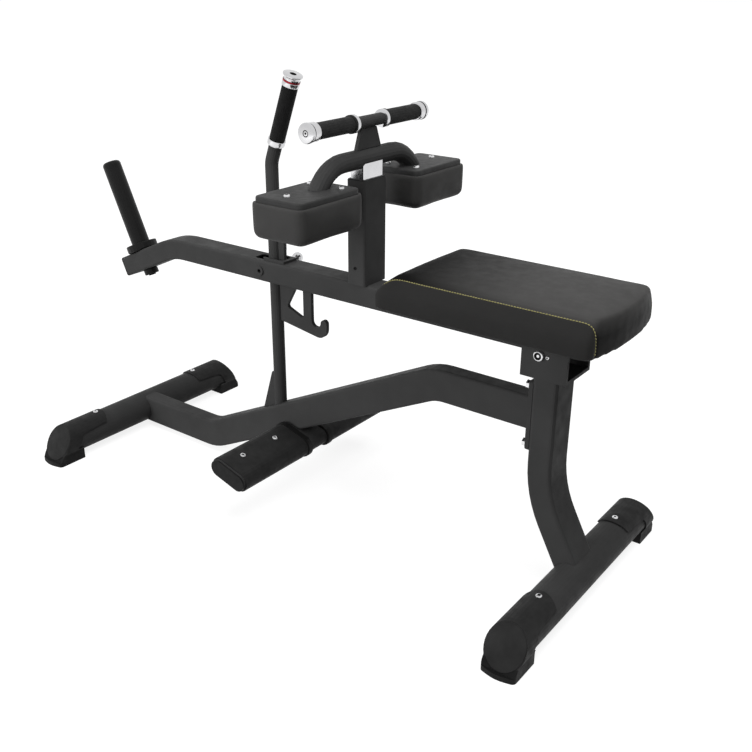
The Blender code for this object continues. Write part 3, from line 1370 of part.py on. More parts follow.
def make_handlebar():
    """The handlebar above the arch, with its bracket, rings, grips and end caps."""
    foot = ARCH_HEIGHT + ARCH_RADIUS + FIT
    top = BAR_HEIGHT - BAR_RADIUS - FIT
    outline = [
        (-BRACKET_FOOT_HALF_WIDTH, foot),
        (BRACKET_FOOT_HALF_WIDTH, foot),
        (BRACKET_TOP_HALF_WIDTH, top),
        (-BRACKET_TOP_HALF_WIDTH, top),
    ]
    bracket = plate("bar_bracket", outline, BRACKET_THICKNESS, END_PLANE, BAR_X)
    finish(bracket, "frame_paint", YOKE)
    base = (BAR_X, 0.0, BAR_HEIGHT)
    inner = BAR_RADIUS - BAR_WALL
    tube = [
        (inner, BAR_HALF_LENGTH),
        (BAR_RADIUS, BAR_HALF_LENGTH),
        (BAR_RADIUS, -BAR_HALF_LENGTH),
        (inner, -BAR_HALF_LENGTH),
    ]
    finish(turned("handlebar", tube, base, AXIS_Y, 20, closed=True), "frame_paint", YOKE)
    bore = BAR_RADIUS + FIT
    ring_end = BAR_RING_INNER_Y + BAR_RING_LENGTH
    grip_end = BAR_GRIP_INNER_Y + BAR_GRIP_LENGTH
    ring = sleeve_profile(BAR_RING_RADIUS, bore, BAR_RING_INNER_Y, ring_end, EDGE)
    flange_end = BAR_GRIP_INNER_Y + BAR_GRIP_FLANGE_LENGTH
    grip = [
        (bore, grip_end),
        (BAR_GRIP_RADIUS - GRIP_EDGE, grip_end),
        (BAR_GRIP_RADIUS, grip_end - GRIP_EDGE),
        (BAR_GRIP_RADIUS, flange_end),
        (BAR_GRIP_FLANGE_RADIUS - EDGE, flange_end),
        (BAR_GRIP_FLANGE_RADIUS, flange_end - EDGE),
        (BAR_GRIP_FLANGE_RADIUS, BAR_GRIP_INNER_Y),
        (bore, BAR_GRIP_INNER_Y),
    ]
    cap_end = BAR_CAP_INNER_Y + BAR_CAP_LENGTH
    groove_end = cap_end - BAR_CAP_FACE_LENGTH
    groove_start = groove_end - BAR_CAP_GROOVE_WIDTH
    cap = [(0.0, cap_end)]
    cap += round_over(BAR_CAP_RADIUS, cap_end, BAR_CAP_ROUND)
    cap += [
        (BAR_CAP_RADIUS, groove_end),
        (BAR_CAP_GROOVE_RADIUS, groove_end),
        (BAR_CAP_GROOVE_RADIUS, groove_start),
        (BAR_CAP_RING_RADIUS, groove_start),
        (BAR_CAP_RING_RADIUS, BAR_CAP_INNER_Y),
        (bore, BAR_CAP_INNER_Y),
        (bore, BAR_HALF_LENGTH + FIT),
        (0.0, BAR_HALF_LENGTH + FIT),
    ]
    for word, axis in (("left", -AXIS_Y), ("right", AXIS_Y)):
        finish(turned(f"bar_ring_{word}", ring, base, axis, 20, closed=True), "chrome", YOKE)
        finish(turned(f"bar_grip_{word}", grip, base, axis, 20, closed=True), "grip_foam", YOKE)
        finish(turned(f"bar_cap_{word}", cap, base, axis, 20), "chrome", YOKE)


def seat_half_width(height):
    """Half the cushion's width at a share of its height."""
    shoulder = 1.0 - SEAT_SHOULDER_DROP / SEAT_HEIGHT
    if height <= shoulder:
        return blend(SEAT_BOTTOM_HALF_WIDTH, SEAT_SHOULDER_HALF_WIDTH, height / shoulder)
    return blend(SEAT_SHOULDER_HALF_WIDTH, SEAT_TOP_HALF_WIDTH, (height - shoulder) / (1 - shoulder))


def seat_front(height):
    """Place of the cushion's front at a share of its height."""
    shoulder = 1.0 - SEAT_SHOULDER_DROP / SEAT_HEIGHT
    share = max(0.0, (height - shoulder) / (1 - shoulder))
    return blend(SEAT_FRONT_X, SEAT_TOP_FRONT_X, share)


def make_seat():
    """The seat's steel mount, its board and its cushion."""
    mount_outline = moved(
        rounded_rectangle(MOUNT_REAR_X - MOUNT_FRONT_X, 2 * MOUNT_HALF_WIDTH, MOUNT_CORNER),
        (MOUNT_FRONT_X + MOUNT_REAR_X) / 2,
    )
    mount = plate(
        "seat_mount", mount_outline, MOUNT_THICKNESS, FLOOR_PLANE, ARM_TOP + FIT + MOUNT_THICKNESS / 2
    )
    finish(mount, "frame_paint", LEVER)

    def place(u, v, w):
        height = (w + 1) / 2
        bow = SEAT_END_BOW * v * v
        x = blend(seat_front(height) + bow / 2, SEAT_REAR_X - bow, (u + 1) / 2)
        crown = SEAT_CROWN * (1 - u * u) * (1 - v * v) if w > 0.999 else 0.0
        return Vector((x, v * seat_half_width(height), blend(SEAT_BOTTOM, SEAT_TOP, height) + crown))

    cushion = soft_block("seat_cushion", 5, place)
    length = SEAT_REAR_X - SEAT_END_BOW - SEAT_FRONT_X - 2 * BOARD_MARGIN
    width = 2 * (SEAT_BOTTOM_HALF_WIDTH - BOARD_MARGIN)
    middle = (SEAT_REAR_X - SEAT_END_BOW + SEAT_FRONT_X) / 2
    pocket_outline = moved(rounded_rectangle(length + 2 * FIT, width + 2 * FIT, BOARD_CORNER), middle)
    pocket_depth = BOARD_THICKNESS + FIT
    pocket = plate("board pocket", pocket_outline, 2 * pocket_depth, FLOOR_PLANE, SEAT_BOTTOM)
    cut(cushion, pocket)
    finish(cushion, "vinyl", LEVER)
    board_outline = moved(rounded_rectangle(length, width, BOARD_CORNER), middle)
    board = plate(
        "seat_board", board_outline, BOARD_THICKNESS, FLOOR_PLANE, SEAT_BOTTOM + BOARD_THICKNESS / 2
    )
    finish(board, "seat_board", LEVER)


clear_scene()
PARTS = new_collection("seated calf raise machine")
CUTTERS = new_collection("cutters")
MATERIAL = {name: make_material(name) for name in MATERIALS}
FRAME = joint_empty("frame", (0.0, 0.0, 0.0))
LEVER = joint_empty("lever pivot", (PIVOT_X, 0.0, PIVOT_Z), FRAME)
LOCK = joint_empty("lock pin slide", (LOCK_X, 0.0, LOCK_Z), LEVER)
YOKE = joint_empty("yoke slide", (KNEE_POST_X, 0.0, KNEE_POST_TOP), LEVER)
HEIGHT_PIN = joint_empty("height pin slide", (KNEE_POST_FRONT_X, 0.0, HEIGHT_PIN_Z), LEVER)

for foot_word, foot_x in (("front", -FOOT_X), ("rear", FOOT_X)):
    make_foot_tube(f"{foot_word}_foot_tube", foot_x)
    for side_word, side_sign in (("left", LEFT), ("right", RIGHT)):
        make_boot(f"boot_{foot_word}_{side_word}", foot_x, side_sign)
make_main_beam()
for bolt_word, bolt_z in (("lower", -BOLT_OFFSET_Z), ("upper", BOLT_OFFSET_Z)):
    for side_word, side_sign in (("left", LEFT), ("right", RIGHT)):
        make_flange_bolt(
            f"flange_bolt_{bolt_word}_{side_word}", side_sign * BOLT_OFFSET_Y, BEAM_REAR_HEIGHT + bolt_z
        )
make_seat_post()
make_pivot_channel()
make_pivot_axle()
make_upright()
make_hook_plate()
make_gusset()
make_upright_handle()
make_footrest()
make_lever_arm()
make_arm_plug()
make_weight_horn()
make_hub()
make_slot_guide()
make_lock()
make_knee_post()
make_height_pin()
make_yoke_tube()
make_arch()
for side_word, side_sign in (("left", LEFT), ("right", RIGHT)):
    make_pads(side_word, side_sign)
make_handlebar()
make_seat()
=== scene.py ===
"""Plate-loaded seated calf raise machine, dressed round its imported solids.

Lengths are in metres. +X points from the weight horn to the seat, +Z is up, and the origin lies
on the floor between the two foot tubes. The user's left is at -Y, which is the near side.
"""

import json
import math

import bmesh
import bpy
from mathutils import Matrix, Vector
from mathutils.bvhtree import BVHTree
from mathutils.kdtree import KDTree


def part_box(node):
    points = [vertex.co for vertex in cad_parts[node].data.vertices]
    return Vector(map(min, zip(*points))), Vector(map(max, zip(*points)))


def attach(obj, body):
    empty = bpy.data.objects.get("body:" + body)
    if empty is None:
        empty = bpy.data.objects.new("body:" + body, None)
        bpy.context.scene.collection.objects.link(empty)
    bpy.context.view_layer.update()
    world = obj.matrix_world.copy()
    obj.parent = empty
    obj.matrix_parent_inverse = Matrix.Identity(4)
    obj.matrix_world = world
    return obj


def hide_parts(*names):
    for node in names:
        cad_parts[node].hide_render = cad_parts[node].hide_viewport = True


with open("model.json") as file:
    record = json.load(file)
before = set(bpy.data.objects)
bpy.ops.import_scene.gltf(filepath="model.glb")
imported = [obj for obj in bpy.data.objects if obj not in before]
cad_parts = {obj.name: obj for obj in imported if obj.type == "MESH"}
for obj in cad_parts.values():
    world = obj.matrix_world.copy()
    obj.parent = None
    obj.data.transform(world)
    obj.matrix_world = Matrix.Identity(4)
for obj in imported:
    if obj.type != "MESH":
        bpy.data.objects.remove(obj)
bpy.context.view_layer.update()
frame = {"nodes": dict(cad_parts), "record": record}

bl_info = {
    "name": "Seated calf raise machine",
    "version": (1, 0, 0),
    "blender": (4, 5, 0),
    "location": "View3D > Sidebar > Calf raise",
    "description": "Upholstery, small fittings, finishes and studio for the machine",
    "category": "Object",
}

MM = 0.001
WELD_DISTANCE = 0.00001
UP = Vector((0.0, 0.0, 1.0))
ALONG_Y = Vector((0.0, 1.0, 0.0))
SIDES = (("left", -1), ("right", 1))

# The photograph's view, read from the picture's own perspective.
PHOTO_PIXELS = 752.0
FOCAL_PIXELS = 953.8
SENSOR_MM = 36.0
VIEW_FROM = Vector((1.4098, -1.6812, 1.3030))
VIEW_AZIMUTH = math.radians(36.79)
VIEW_PITCH = math.radians(23.77)
VIEW_ROLL = math.radians(0.26)

# Floor, backdrop and lamps. A lamp has a place, a target, a size and a power.
KEY_LIGHT = ((-1.6, -4.2, 1.7), (0.0, 0.0, 0.45), (3.2, 2.4), 195.0)
TOP_LIGHT = ((1.2, -0.5, 4.0), (0.0, 0.0, 0.4), (3.0, 3.0), 150.0)
AMBIENT = 0.13
WHITE = (1.0, 1.0, 1.0, 1.0)
FLOOR_GREY = (0.30, 0.30, 0.30, 1.0)
FLOOR_SIZE = 60.0
FLOOR_GLOW_NEAR = 0.84
FLOOR_GLOW_FAR = 1.0
GLOW_START = 0.9
GLOW_END = 2.6
CLIP_START = 0.05
CLIP_END = 100.0

# Where a finish changes along its piece. A painted shade on the seat's vinyl has a start, an end
# and a share.
SOLE_TOP_Z = 0.030
SOLE_BLEND = 0.003
# Painted shadow and dark reflection of the knee pads, darkening the seat's front.
SHADED_FRONT = (0.33, 0.58, 0.10)
# Painted shade, darkening the centre panel low down on the seat's front and rear ends.
SHADED_FOOT = (0.660, 0.690, 0.13)

# Stuffing of the seat and the knee pads.
STUFFING_PRESSURE = 4.0
STUFFING_FRAMES = 20
EVEN_ROUNDS = 30
REST_FACE = 0.92
REST_RIM = 0.6
SEAT_SHARP = math.radians(25.0)
SEAT_MIDDLE_X = 0.5
SEAT_FRONT_BOW = 0.0105

# Seams of the seat, found by rays from a core inside it, and their stitches.
SEAM_Y = 0.1315
SEAM_CORE_Z = 0.650
SEAM_FOOT_Z = 0.622
SEAM_FRONT_X = 0.320
SEAM_REAR_X = 0.735
SEAM_STEP = 0.002
SEAM_TURNS = 16
GROOVE_REACH = 0.0055
STITCH_SIDES = 6
STITCH_CUTS = 3
STITCH_SHARE = 0.86
STITCH_DIVE = 1.1
STITCH_TAPER = 0.35
STITCH_PROUD = 0.45

# Pad plates, strip behind the upright, and collars of the footrest.
PLATE_CORNER = 0.014
STRIP_FRONT_X = -0.1451
STRIP_REAR_X = -0.1272
STRIP_THICKNESS = 0.0106
STRIP_LOW_Z = 0.640
STRIP_HIGH_Z = 0.684
STRIP_CORNER = 0.004
COLLAR_LENGTH = 0.010
COLLAR_PROUD = 0.0026
COLLAR_ROUND = 0.00104

# Discs on the boots' sloping ends, taller than they are wide.
FOOT_X = 0.7135
FOOT_AXIS_Z = 0.054
BOOT_FACE_OUT = 0.3207
BOOT_FACE_TILT = math.radians(31.0)
BOOT_DISC_RISE = 1.13
BOOT_DISC_Z = 0.0560

# Button head screws, placed by rays. The shares are of the head's height or radius.
SCREW_SIDES = 24
SCREW_HEIGHT = 0.0030
SCREW_SINK = 0.0004
SCREW_DOME = 0.72
SCREW_RIM = 0.16
SOCKET_REACH = 0.44
SOCKET_EDGE = 0.45
SOCKET_DEPTH = 0.6
LEVEL = 0.99
SIXTH_TURN = math.pi / 3
DOME_RISE = 1.7
SMALL_SCREW = 0.6
BOOT_SCREW_Y = 0.188
WRAP_SCREWS = ((-0.0895, 0.221), (-0.0895, 0.105))
PLATE_SCREWS = ((0.1215, 0.262), (0.1625, 0.138), (0.0795, 0.141))
RAY_BESIDE_Y = 0.2
RAY_ABOVE = 0.01
KEEPER_SCREW_X, KEEPER_SCREW_Z = 0.6250, 0.5640
POST_SCREW_X, POST_SCREW_Z = 0.1226, 0.6520

# Places of the turned pieces.
TURNED_SIDES = 64
LEAN_ANGLE = math.radians(20.4)
LEAN = Vector((math.sin(LEAN_ANGLE), 0.0, math.cos(LEAN_ANGLE)))
LEAN_BASE = Vector((-0.1614, 0.0, 0.852))
UPRIGHT_RING_START = 0.045
UPRIGHT_CAP_START = 0.1926
BAR_PLACE = Vector((0.127, 0.0, 0.9755))
BAR_RING_Y = 0.0476
BAR_CAP_Y = 0.1786
AXLE_PLACE = Vector((0.6065, -0.0556, 0.565))

# Turned pieces, row by row: radius and height in millimetres, and the finish up to there
# where it isn't the piece's own.
# The recess finish is painted shade in grooves and sockets.
UPRIGHT_RING = (
    (18.0, 0.0), (20.4, 0.9), (21.3, 2.6), (21.5, 4.6), (21.5, 13.8), (20.9, 14.6), (19.0, 15.0),
)
UPRIGHT_CAP = (
    (20.0, 0.0), (20.6, 0.6), (20.8, 1.2), (20.8, 9.9), (20.2, 10.6), (20.0, 10.8, "recess"),
    (20.6, 11.0, "accent"), (20.6, 14.6, "accent"), (19.5, 15.0, "recess"), (19.4, 18.0),
    (19.9, 20.0), (21.0, 22.0), (22.4, 23.6), (23.3, 24.6), (23.5, 25.2), (23.5, 27.2),
    (23.0, 28.1), (21.9, 28.5), (8.0, 28.4), (7.6, 26.5, "recess"), (4.0, 26.5, "recess"),
    (3.6, 24.5, "recess"), (0.3, 24.5, "recess"),
)
BAR_RING = (
    (18.5, 0.0), (19.6, 0.4), (20.0, 1.4), (20.0, 8.3), (19.6, 9.3), (18.5, 9.7),
)
BAR_CAP = (
    (19.2, 0.0), (20.0, 0.4), (20.3, 1.2), (20.3, 15.5), (19.6, 16.2), (18.5, 16.4, "recess"),
    (18.5, 19.4, "recess"), (20.5, 19.5, "recess"), (21.1, 19.9), (21.3, 20.6), (21.3, 25.0),
    (20.9, 26.4), (20.0, 27.3), (18.6, 27.9), (7.2, 27.9), (6.6, 26.9, "recess"),
    (5.6, 26.9, "recess"), (5.2, 27.7), (2.4, 27.9), (2.0, 26.0, "recess"), (0.3, 26.0, "recess"),
)
AXLE = (
    (9.0, -123.0), (10.0, -122.0), (10.0, 0.0), (10.7, 0.0), (11.1, 0.5), (11.1, 5.0),
    (10.6, 6.6), (9.6, 7.5), (8.2, 7.8), (7.5, 4.0, "recess"), (3.4, 4.0, "recess"), (3.0, 6.6),
    (0.3, 7.0),
)
BOOT_DISC = (
    (44.5, -1.6), (44.5, 0.8), (44.2, 1.36), (43.5, 1.6), (0.4, 2.08),
)

# Finishes by name. A node that isn't listed has the finish of its slot in the record.
FINISHES = {}
OWN_FINISHES = {"arm_front_plug": "plug", "knee_post_liner": "plug", "upright_grip": "dark_foam"}
for side_word, _ in SIDES:
    OWN_FINISHES[f"footrest_plug_{side_word}"] = "plug"
    for foot_word in ("front", "rear"):
        OWN_FINISHES[f"boot_{foot_word}_{side_word}"] = "boot_rubber"


def tone(level, warm=0.0):
    """Linear colour of a grey from 0 to 255 as a screen shows it, a little warm or cool."""
    screen = [(level + warm) / 255.0, level / 255.0, (level - warm) / 255.0]
    return tuple(v / 12.92 if v <= 0.04045 else ((v + 0.055) / 1.055) ** 2.4 for v in screen)


def tint(name, description, default):
    return bpy.props.FloatVectorProperty(
        name=name, description=description, subtype="COLOR", default=default, min=0.0, max=1.0
    )


def span(name, description, default, low, high):
    return bpy.props.FloatProperty(
        name=name, description=description, subtype="DISTANCE", unit="LENGTH",
        default=default, min=low, max=high,
    )


class MachineColours(bpy.types.PropertyGroup):
    """Colours of the machine's finishes."""

    paint: tint("Powder coat", "Charcoal paint on the tubes", tone(57))
    horn: tint("Horn paint", "Satin black on the weight horn", tone(15))
    rubber: tint("Rubber", "Wraps of the footrest", tone(37))
    boot: tint("Boots", "Rubber boots of the feet above their soles", tone(36))
    disc: tint("Boot discs", "Round faces at the boots' ends", tone(35))
    sole: tint("Soles", "Soles and toes of the boots", tone(19))
    plastic: tint("Plastic", "Moulded plates above the knee pads", tone(50))
    plug: tint("Plugs", "Plugs and liners of the tubes", tone(19))
    foam: tint("Grip foam", "Grips of the handlebar", tone(30))
    dark_foam: tint("Dark foam", "Grip of the upright", tone(18))
    # Painted shade: a dark colour in the grooves and sockets of the caps, the axle and the screws.
    recess: tint("Recesses", "Grooves and sockets of caps and screws", tone(20))
    # Lighter than the side vinyl: a painted sheen on the seat's top.
    vinyl: tint("Seat vinyl", "Centre panel of the seat", tone(60, 0.5))
    side_vinyl: tint("Side vinyl", "Side panels of the seat", tone(35, 0.3))
    pad_vinyl: tint("Pad vinyl", "Cover of the knee pads", tone(55, 0.4))
    thread: tint("Thread", "Contrast thread of the seat's seams", (0.240, 0.218, 0.085))
    accent: tint("Accent ring", "Ring below the upright's cap", (0.32, 0.010, 0.022))
    chrome: tint("Chrome", "Polished plate on rings, caps and sliding tube", (0.60, 0.60, 0.61))
    steel: tint("Bright steel", "Screws, bolts and pins", (0.74, 0.74, 0.75))


class MachineSizes(bpy.types.PropertyGroup):
    """Sizes of the upholstery and the small fittings."""

    seat_voxel: span("Seat grid", "Cell of the seat's cloth", 0.0045, 0.004, 0.006)
    pad_voxel: span("Pad grid", "Cell of the knee pads' cloth", 0.004, 0.004, 0.006)
    take_in: span(
        "Take-in", "How much smaller a cushion is before it is stuffed", 0.0005, 0.0, 0.006
    )
    seat_edge: span(
        "Seat edge", "Radius of the seat's edges before it is stuffed", 0.0035, 0.002, 0.012
    )
    swell: span("Swell", "Farthest that a cushion's cover may move out", 0.004, 0.001, 0.016)
    seam_groove: span("Seam groove", "Depth of the groove along a seam", 0.0016, 0.0, 0.004)
    stitch_pitch: span("Stitch pitch", "Distance from one stitch to the next", 0.0062, 0.003, 0.012)
    thread_radius: span("Thread radius", "Half the thickness of the thread", 0.0011, 0.0004, 0.002)
    screw_radius: span("Screw head", "Radius of a button head screw", 0.007, 0.003, 0.009)
    pad_corner: span("Pad corner", "Radius of a knee pad's upright edges", 0.019, 0.004, 0.030)
    pad_edge: span("Pad edge", "Radius of a knee pad's bottom edges", 0.017, 0.004, 0.030)
    plate_edge: span("Plate edge", "Radius of a pad plate's top edge", 0.004, 0.001, 0.006)


def scaled(colour, share):
    return tuple(channel * share for channel in colour)


class Nodes:
    """The node tree of a material or a world, emptied to start with."""

    def __init__(self, owner):
        owner.use_nodes = True
        self.tree = owner.node_tree
        self.tree.nodes.clear()

    def node(self, kind, values=None):
        """A new node, with these constant values on its input sockets."""
        node = self.tree.nodes.new(kind)
        for socket, value in (values or {}).items():
            node.inputs[socket].default_value = value
        return node

    def link(self, start, end):
        self.tree.links.new(start, end)

    def ranged(self, value, low, high, start=0.3, end=0.7):
        """The value's part from start to end, spread over low to high."""
        spread = self.node("ShaderNodeMapRange", {
            "From Min": start, "From Max": end, "To Min": low, "To Max": high,
        })
        self.link(value, spread.inputs["Value"])
        return spread.outputs["Result"]


class Finish(Nodes):
    """A procedural material whose patterns lie on the piece's own Object coordinates."""

    def __init__(self, name, metallic=0.0, specular=0.5):
        self.material = bpy.data.materials.new(name)
        super().__init__(self.material)
        self.shader = self.node("ShaderNodeBsdfPrincipled", {
            "Metallic": metallic, "Specular IOR Level": specular,
        })
        output = self.node("ShaderNodeOutputMaterial")
        self.link(self.shader.outputs["BSDF"], output.inputs["Surface"])
        self.place = self.node("ShaderNodeTexCoord").outputs["Object"]

    def set(self, socket, value):
        self.shader.inputs[socket].default_value = value

    def stretched(self, scale):
        """Object coordinates stretched along an axis, for brushed and turned marks."""
        mapping = self.node("ShaderNodeMapping", {"Scale": scale})
        self.link(self.place, mapping.inputs["Vector"])
        return mapping.outputs["Vector"]

    def noise(self, scale, detail=3.0, place=None):
        noise = self.node("ShaderNodeTexNoise", {"Scale": scale, "Detail": detail})
        self.link(place or self.place, noise.inputs["Vector"])
        return noise.outputs["Fac"]

    def cells(self, scale):
        cells = self.node("ShaderNodeTexVoronoi", {"Scale": scale})
        self.link(self.place, cells.inputs["Vector"])
        return cells.outputs["Distance"]

    def axis(self, name):
        """One of the Object coordinates."""
        parts = self.node("ShaderNodeSeparateXYZ")
        self.link(self.place, parts.inputs["Vector"])
        return parts.outputs[name]

    def blended(self, first, pattern, second):
        """From first to second, each a colour or a socket, as the pattern goes from 0 to 1."""
        mix = self.node("ShaderNodeMix")
        mix.data_type = "RGBA"
        self.link(pattern, mix.inputs["Factor"])
        for socket, colour in ((mix.inputs[6], first), (mix.inputs[7], second)):
            if isinstance(colour, tuple):
                socket.default_value = (*colour, 1.0)
            else:
                self.link(colour, socket)
        return mix.outputs[2]

    def mottled(self, colour, low, pattern, high):
        """The colour times low to the colour times high as the pattern goes from 0 to 1."""
        return self.blended(scaled(colour, low), pattern, scaled(colour, high))

    def colour(self, socket):
        self.link(socket, self.shader.inputs["Base Color"])

    def cloudy(self, colour, low, high, scale, detail=4.0):
        """The base colour, from the colour times low to the colour times high in soft clouds."""
        pattern = self.ranged(self.noise(scale, detail), 0.0, 1.0)
        self.colour(self.mottled(colour, low, pattern, high))

    def rough(self, pattern, low, high):
        self.link(self.ranged(pattern, low, high), self.shader.inputs["Roughness"])

    def bump(self, layers):
        """Relief in layers of (pattern, strength, depth), the coarsest first."""
        normal = None
        for pattern, strength, depth in layers:
            bump = self.node("ShaderNodeBump", {"Strength": strength, "Distance": depth})
            self.link(pattern, bump.inputs["Height"])
            if normal is not None:
                self.link(normal, bump.inputs["Normal"])
            normal = bump.outputs["Normal"]
        self.link(normal, self.shader.inputs["Normal"])


def powder_coat(colour):
    """Charcoal powder coat: matte, with fine orange peel and faint cloudiness."""
    finish = Finish("charcoal_powder_coat", specular=0.05)
    finish.cloudy(colour, 0.90, 1.10, 9.0)
    finish.rough(finish.noise(38.0, 5.0), 0.44, 0.62)
    peel = finish.noise(900.0, 2.0)
    grit = finish.cells(2400.0)
    finish.bump([(peel, 0.22, 0.15 * MM), (grit, 0.10, 0.05 * MM)])
    return finish.material


def satin_black(colour):
    """Satin black coat with the faint streaks that plates leave on a horn."""
    finish = Finish("satin_black_coat", specular=0.16)
    finish.cloudy(colour, 0.85, 1.15, 14.0)
    streaks = finish.noise(60.0, 6.0, finish.stretched((6.0, 6.0, 0.6)))
    finish.rough(streaks, 0.30, 0.52)
    finish.bump([(finish.noise(700.0, 2.0), 0.18, 0.12 * MM)])
    return finish.material


def moulded_rubber(name, colour, sole=None):
    """Matte rubber with a fine spark-eroded grain and a little dust, darker in a boot's sole."""
    finish = Finish(name, specular=0.12)
    dust = finish.ranged(finish.noise(26.0, 6.0), 0.0, 1.0)
    if sole is None:
        finish.colour(finish.mottled(colour, 0.82, dust, 1.18))
    else:
        upper = finish.mottled(colour, 0.86, dust, 1.14)
        lower = finish.mottled(sole, 0.80, dust, 1.20)
        height = finish.ranged(finish.axis("Z"), 0.0, 1.0, SOLE_TOP_Z - SOLE_BLEND, SOLE_TOP_Z)
        finish.colour(finish.blended(lower, height, upper))
    finish.rough(finish.noise(55.0, 4.0), 0.52, 0.74)
    grain = finish.cells(1300.0)
    finish.bump([(grain, 0.30, 0.20 * MM), (finish.noise(420.0, 3.0), 0.20, 0.15 * MM)])
    return finish.material


def moulded_plastic(name, colour):
    """Matte plastic with a leather-like moulding grain."""
    finish = Finish(name, specular=0.12)
    finish.cloudy(colour, 0.90, 1.10, 20.0, 3.0)
    finish.rough(finish.noise(70.0, 4.0), 0.46, 0.62)
    finish.bump([(finish.cells(1500.0), 0.25, 0.12 * MM)])
    return finish.material


def grip_foam(name, colour):
    """Closed-cell foam rubber: small open cells and a soft sheen."""
    finish = Finish(name, specular=0.12)
    cells = finish.cells(650.0)
    mottle = finish.ranged(cells, 0.0, 1.0, 0.1, 0.7)
    finish.colour(finish.mottled(colour, 0.70, mottle, 1.25))
    finish.rough(finish.noise(90.0, 4.0), 0.66, 0.86)
    finish.set("Sheen Weight", 0.06)
    finish.set("Sheen Roughness", 0.5)
    finish.bump([(finish.noise(120.0, 3.0), 0.20, 0.4 * MM), (cells, 0.45, 0.35 * MM)])
    return finish.material


def chrome_plate(colour):
    """Polished chrome with faint hairlines and handling haze."""
    finish = Finish("polished_chrome", metallic=1.0)
    finish.cloudy(colour, 0.96, 1.04, 30.0)
    hairlines = finish.noise(120.0, 6.0, finish.stretched((9.0, 9.0, 0.8)))
    finish.rough(hairlines, 0.12, 0.20)
    return finish.material


def bright_steel(colour):
    """Zinc-plated steel with turning marks."""
    finish = Finish("bright_zinc_steel", metallic=1.0)
    finish.cloudy(colour, 0.85, 1.10, 90.0)
    marks = finish.noise(220.0, 4.0, finish.stretched((1.0, 8.0, 1.0)))
    finish.rough(marks, 0.18, 0.36)
    finish.bump([(marks, 0.12, 0.06 * MM)])
    return finish.material


def upholstery_vinyl(name, colour, specular, painted_shade=False):
    """Vinyl with pebbled leather grain and faint creases; on the seat, painted shade darkens its
    front and foot.
    """
    finish = Finish(name, specular=specular)
    pebbles = finish.cells(620.0)
    shade = finish.ranged(finish.noise(16.0, 5.0), 0.0, 1.0, 0.25, 0.75)
    tones = finish.mottled(colour, 0.94, shade, 1.06)
    # Painted shade: the seat's front darkened for the knee pads' shadow and reflection, and its
    # ends darkened low down.
    if painted_shade:
        for axis, (start, end, share) in (("X", SHADED_FRONT), ("Z", SHADED_FOOT)):
            along = finish.ranged(finish.axis(axis), 0.0, 1.0, start, end)
            tones = finish.blended(scaled(colour, share), along, tones)
    finish.colour(tones)
    finish.rough(finish.noise(48.0, 5.0), 0.48, 0.60)
    creases = finish.noise(34.0, 6.0)
    finish.bump([
        (creases, 0.05, 0.5 * MM), (pebbles, 0.32, 0.25 * MM),
        (finish.noise(1500.0), 0.12, 0.06 * MM),
    ])
    return finish.material


def sewing_thread(colour):
    """Twisted polyester thread with a little lustre."""
    finish = Finish("contrast_thread", specular=0.3)
    fibres = finish.noise(1600.0, 2.0)
    finish.colour(finish.mottled(colour, 0.72, finish.ranged(fibres, 0.0, 1.0), 1.20))
    finish.rough(fibres, 0.45, 0.70)
    finish.set("Sheen Weight", 0.2)
    finish.bump([(fibres, 0.4, 0.15 * MM)])
    return finish.material


def stained_board(colour):
    """Black-stained plywood with its grain along the seat."""
    finish = Finish("stained_plywood", specular=0.2)
    rings = finish.noise(24.0, 6.0, finish.stretched((0.6, 9.0, 9.0)))
    finish.colour(finish.mottled(colour, 0.6, finish.ranged(rings, 0.0, 1.0), 1.3))
    finish.rough(rings, 0.60, 0.82)
    finish.bump([(rings, 0.3, 0.3 * MM)])
    return finish.material


def accent_enamel(colour):
    """Glossy red ring."""
    finish = Finish("red_anodised_ring", metallic=0.6)
    finish.cloudy(colour, 0.85, 1.10, 140.0, 3.0)
    finish.rough(finish.noise(200.0, 3.0), 0.22, 0.34)
    return finish.material


def make_finishes(colours):
    """All the finishes, by the record's slot or by their own name."""
    FINISHES.update({
        "frame_paint": powder_coat(colours.paint),
        "satin_black": satin_black(colours.horn),
        "black_rubber": moulded_rubber("wrap_rubber", colours.rubber),
        "boot_rubber": moulded_rubber("boot_rubber", colours.boot, colours.sole),
        "boot_disc": moulded_rubber("boot_disc_rubber", colours.disc),
        "black_plastic": moulded_plastic("plate_plastic", colours.plastic),
        "plug": moulded_plastic("plug_plastic", colours.plug),
        # Painted shade for grooves and sockets.
        "recess": moulded_plastic("dark_recess", colours.recess),
        "grip_foam": grip_foam("grip_foam", colours.foam),
        "dark_foam": grip_foam("dark_grip_foam", colours.dark_foam),
        "chrome": chrome_plate(colours.chrome),
        "bright_steel": bright_steel(colours.steel),
        # The seat's centre vinyl carries a painted sheen on its top and painted shade at its front
        # and foot.
        "vinyl": upholstery_vinyl("seat_vinyl_painted_light", colours.vinyl, 0.05, painted_shade=True),
        "side_vinyl": upholstery_vinyl("seat_side_vinyl", colours.side_vinyl, 0.08),
        "pad_vinyl": upholstery_vinyl("knee_pad_vinyl", colours.pad_vinyl, 0.10),
        "board": stained_board(colours.plastic),
        "thread": sewing_thread(colours.thread),
        "accent": accent_enamel(colours.accent),
    })


def deselect():
    if bpy.context.object is not None and bpy.context.object.mode != "OBJECT":
        bpy.ops.object.mode_set(mode="OBJECT")
    bpy.ops.object.select_all(action="DESELECT")


def alone(piece):
    """Makes the piece the only one selected, and the active one."""
    deselect()
    piece.select_set(True)
    bpy.context.view_layer.objects.active = piece


def edit(piece, mode="VERT"):
    alone(piece)
    bpy.ops.object.mode_set(mode="EDIT")
    bpy.ops.mesh.select_mode(type=mode)


def done():
    bpy.ops.object.mode_set(mode="OBJECT")


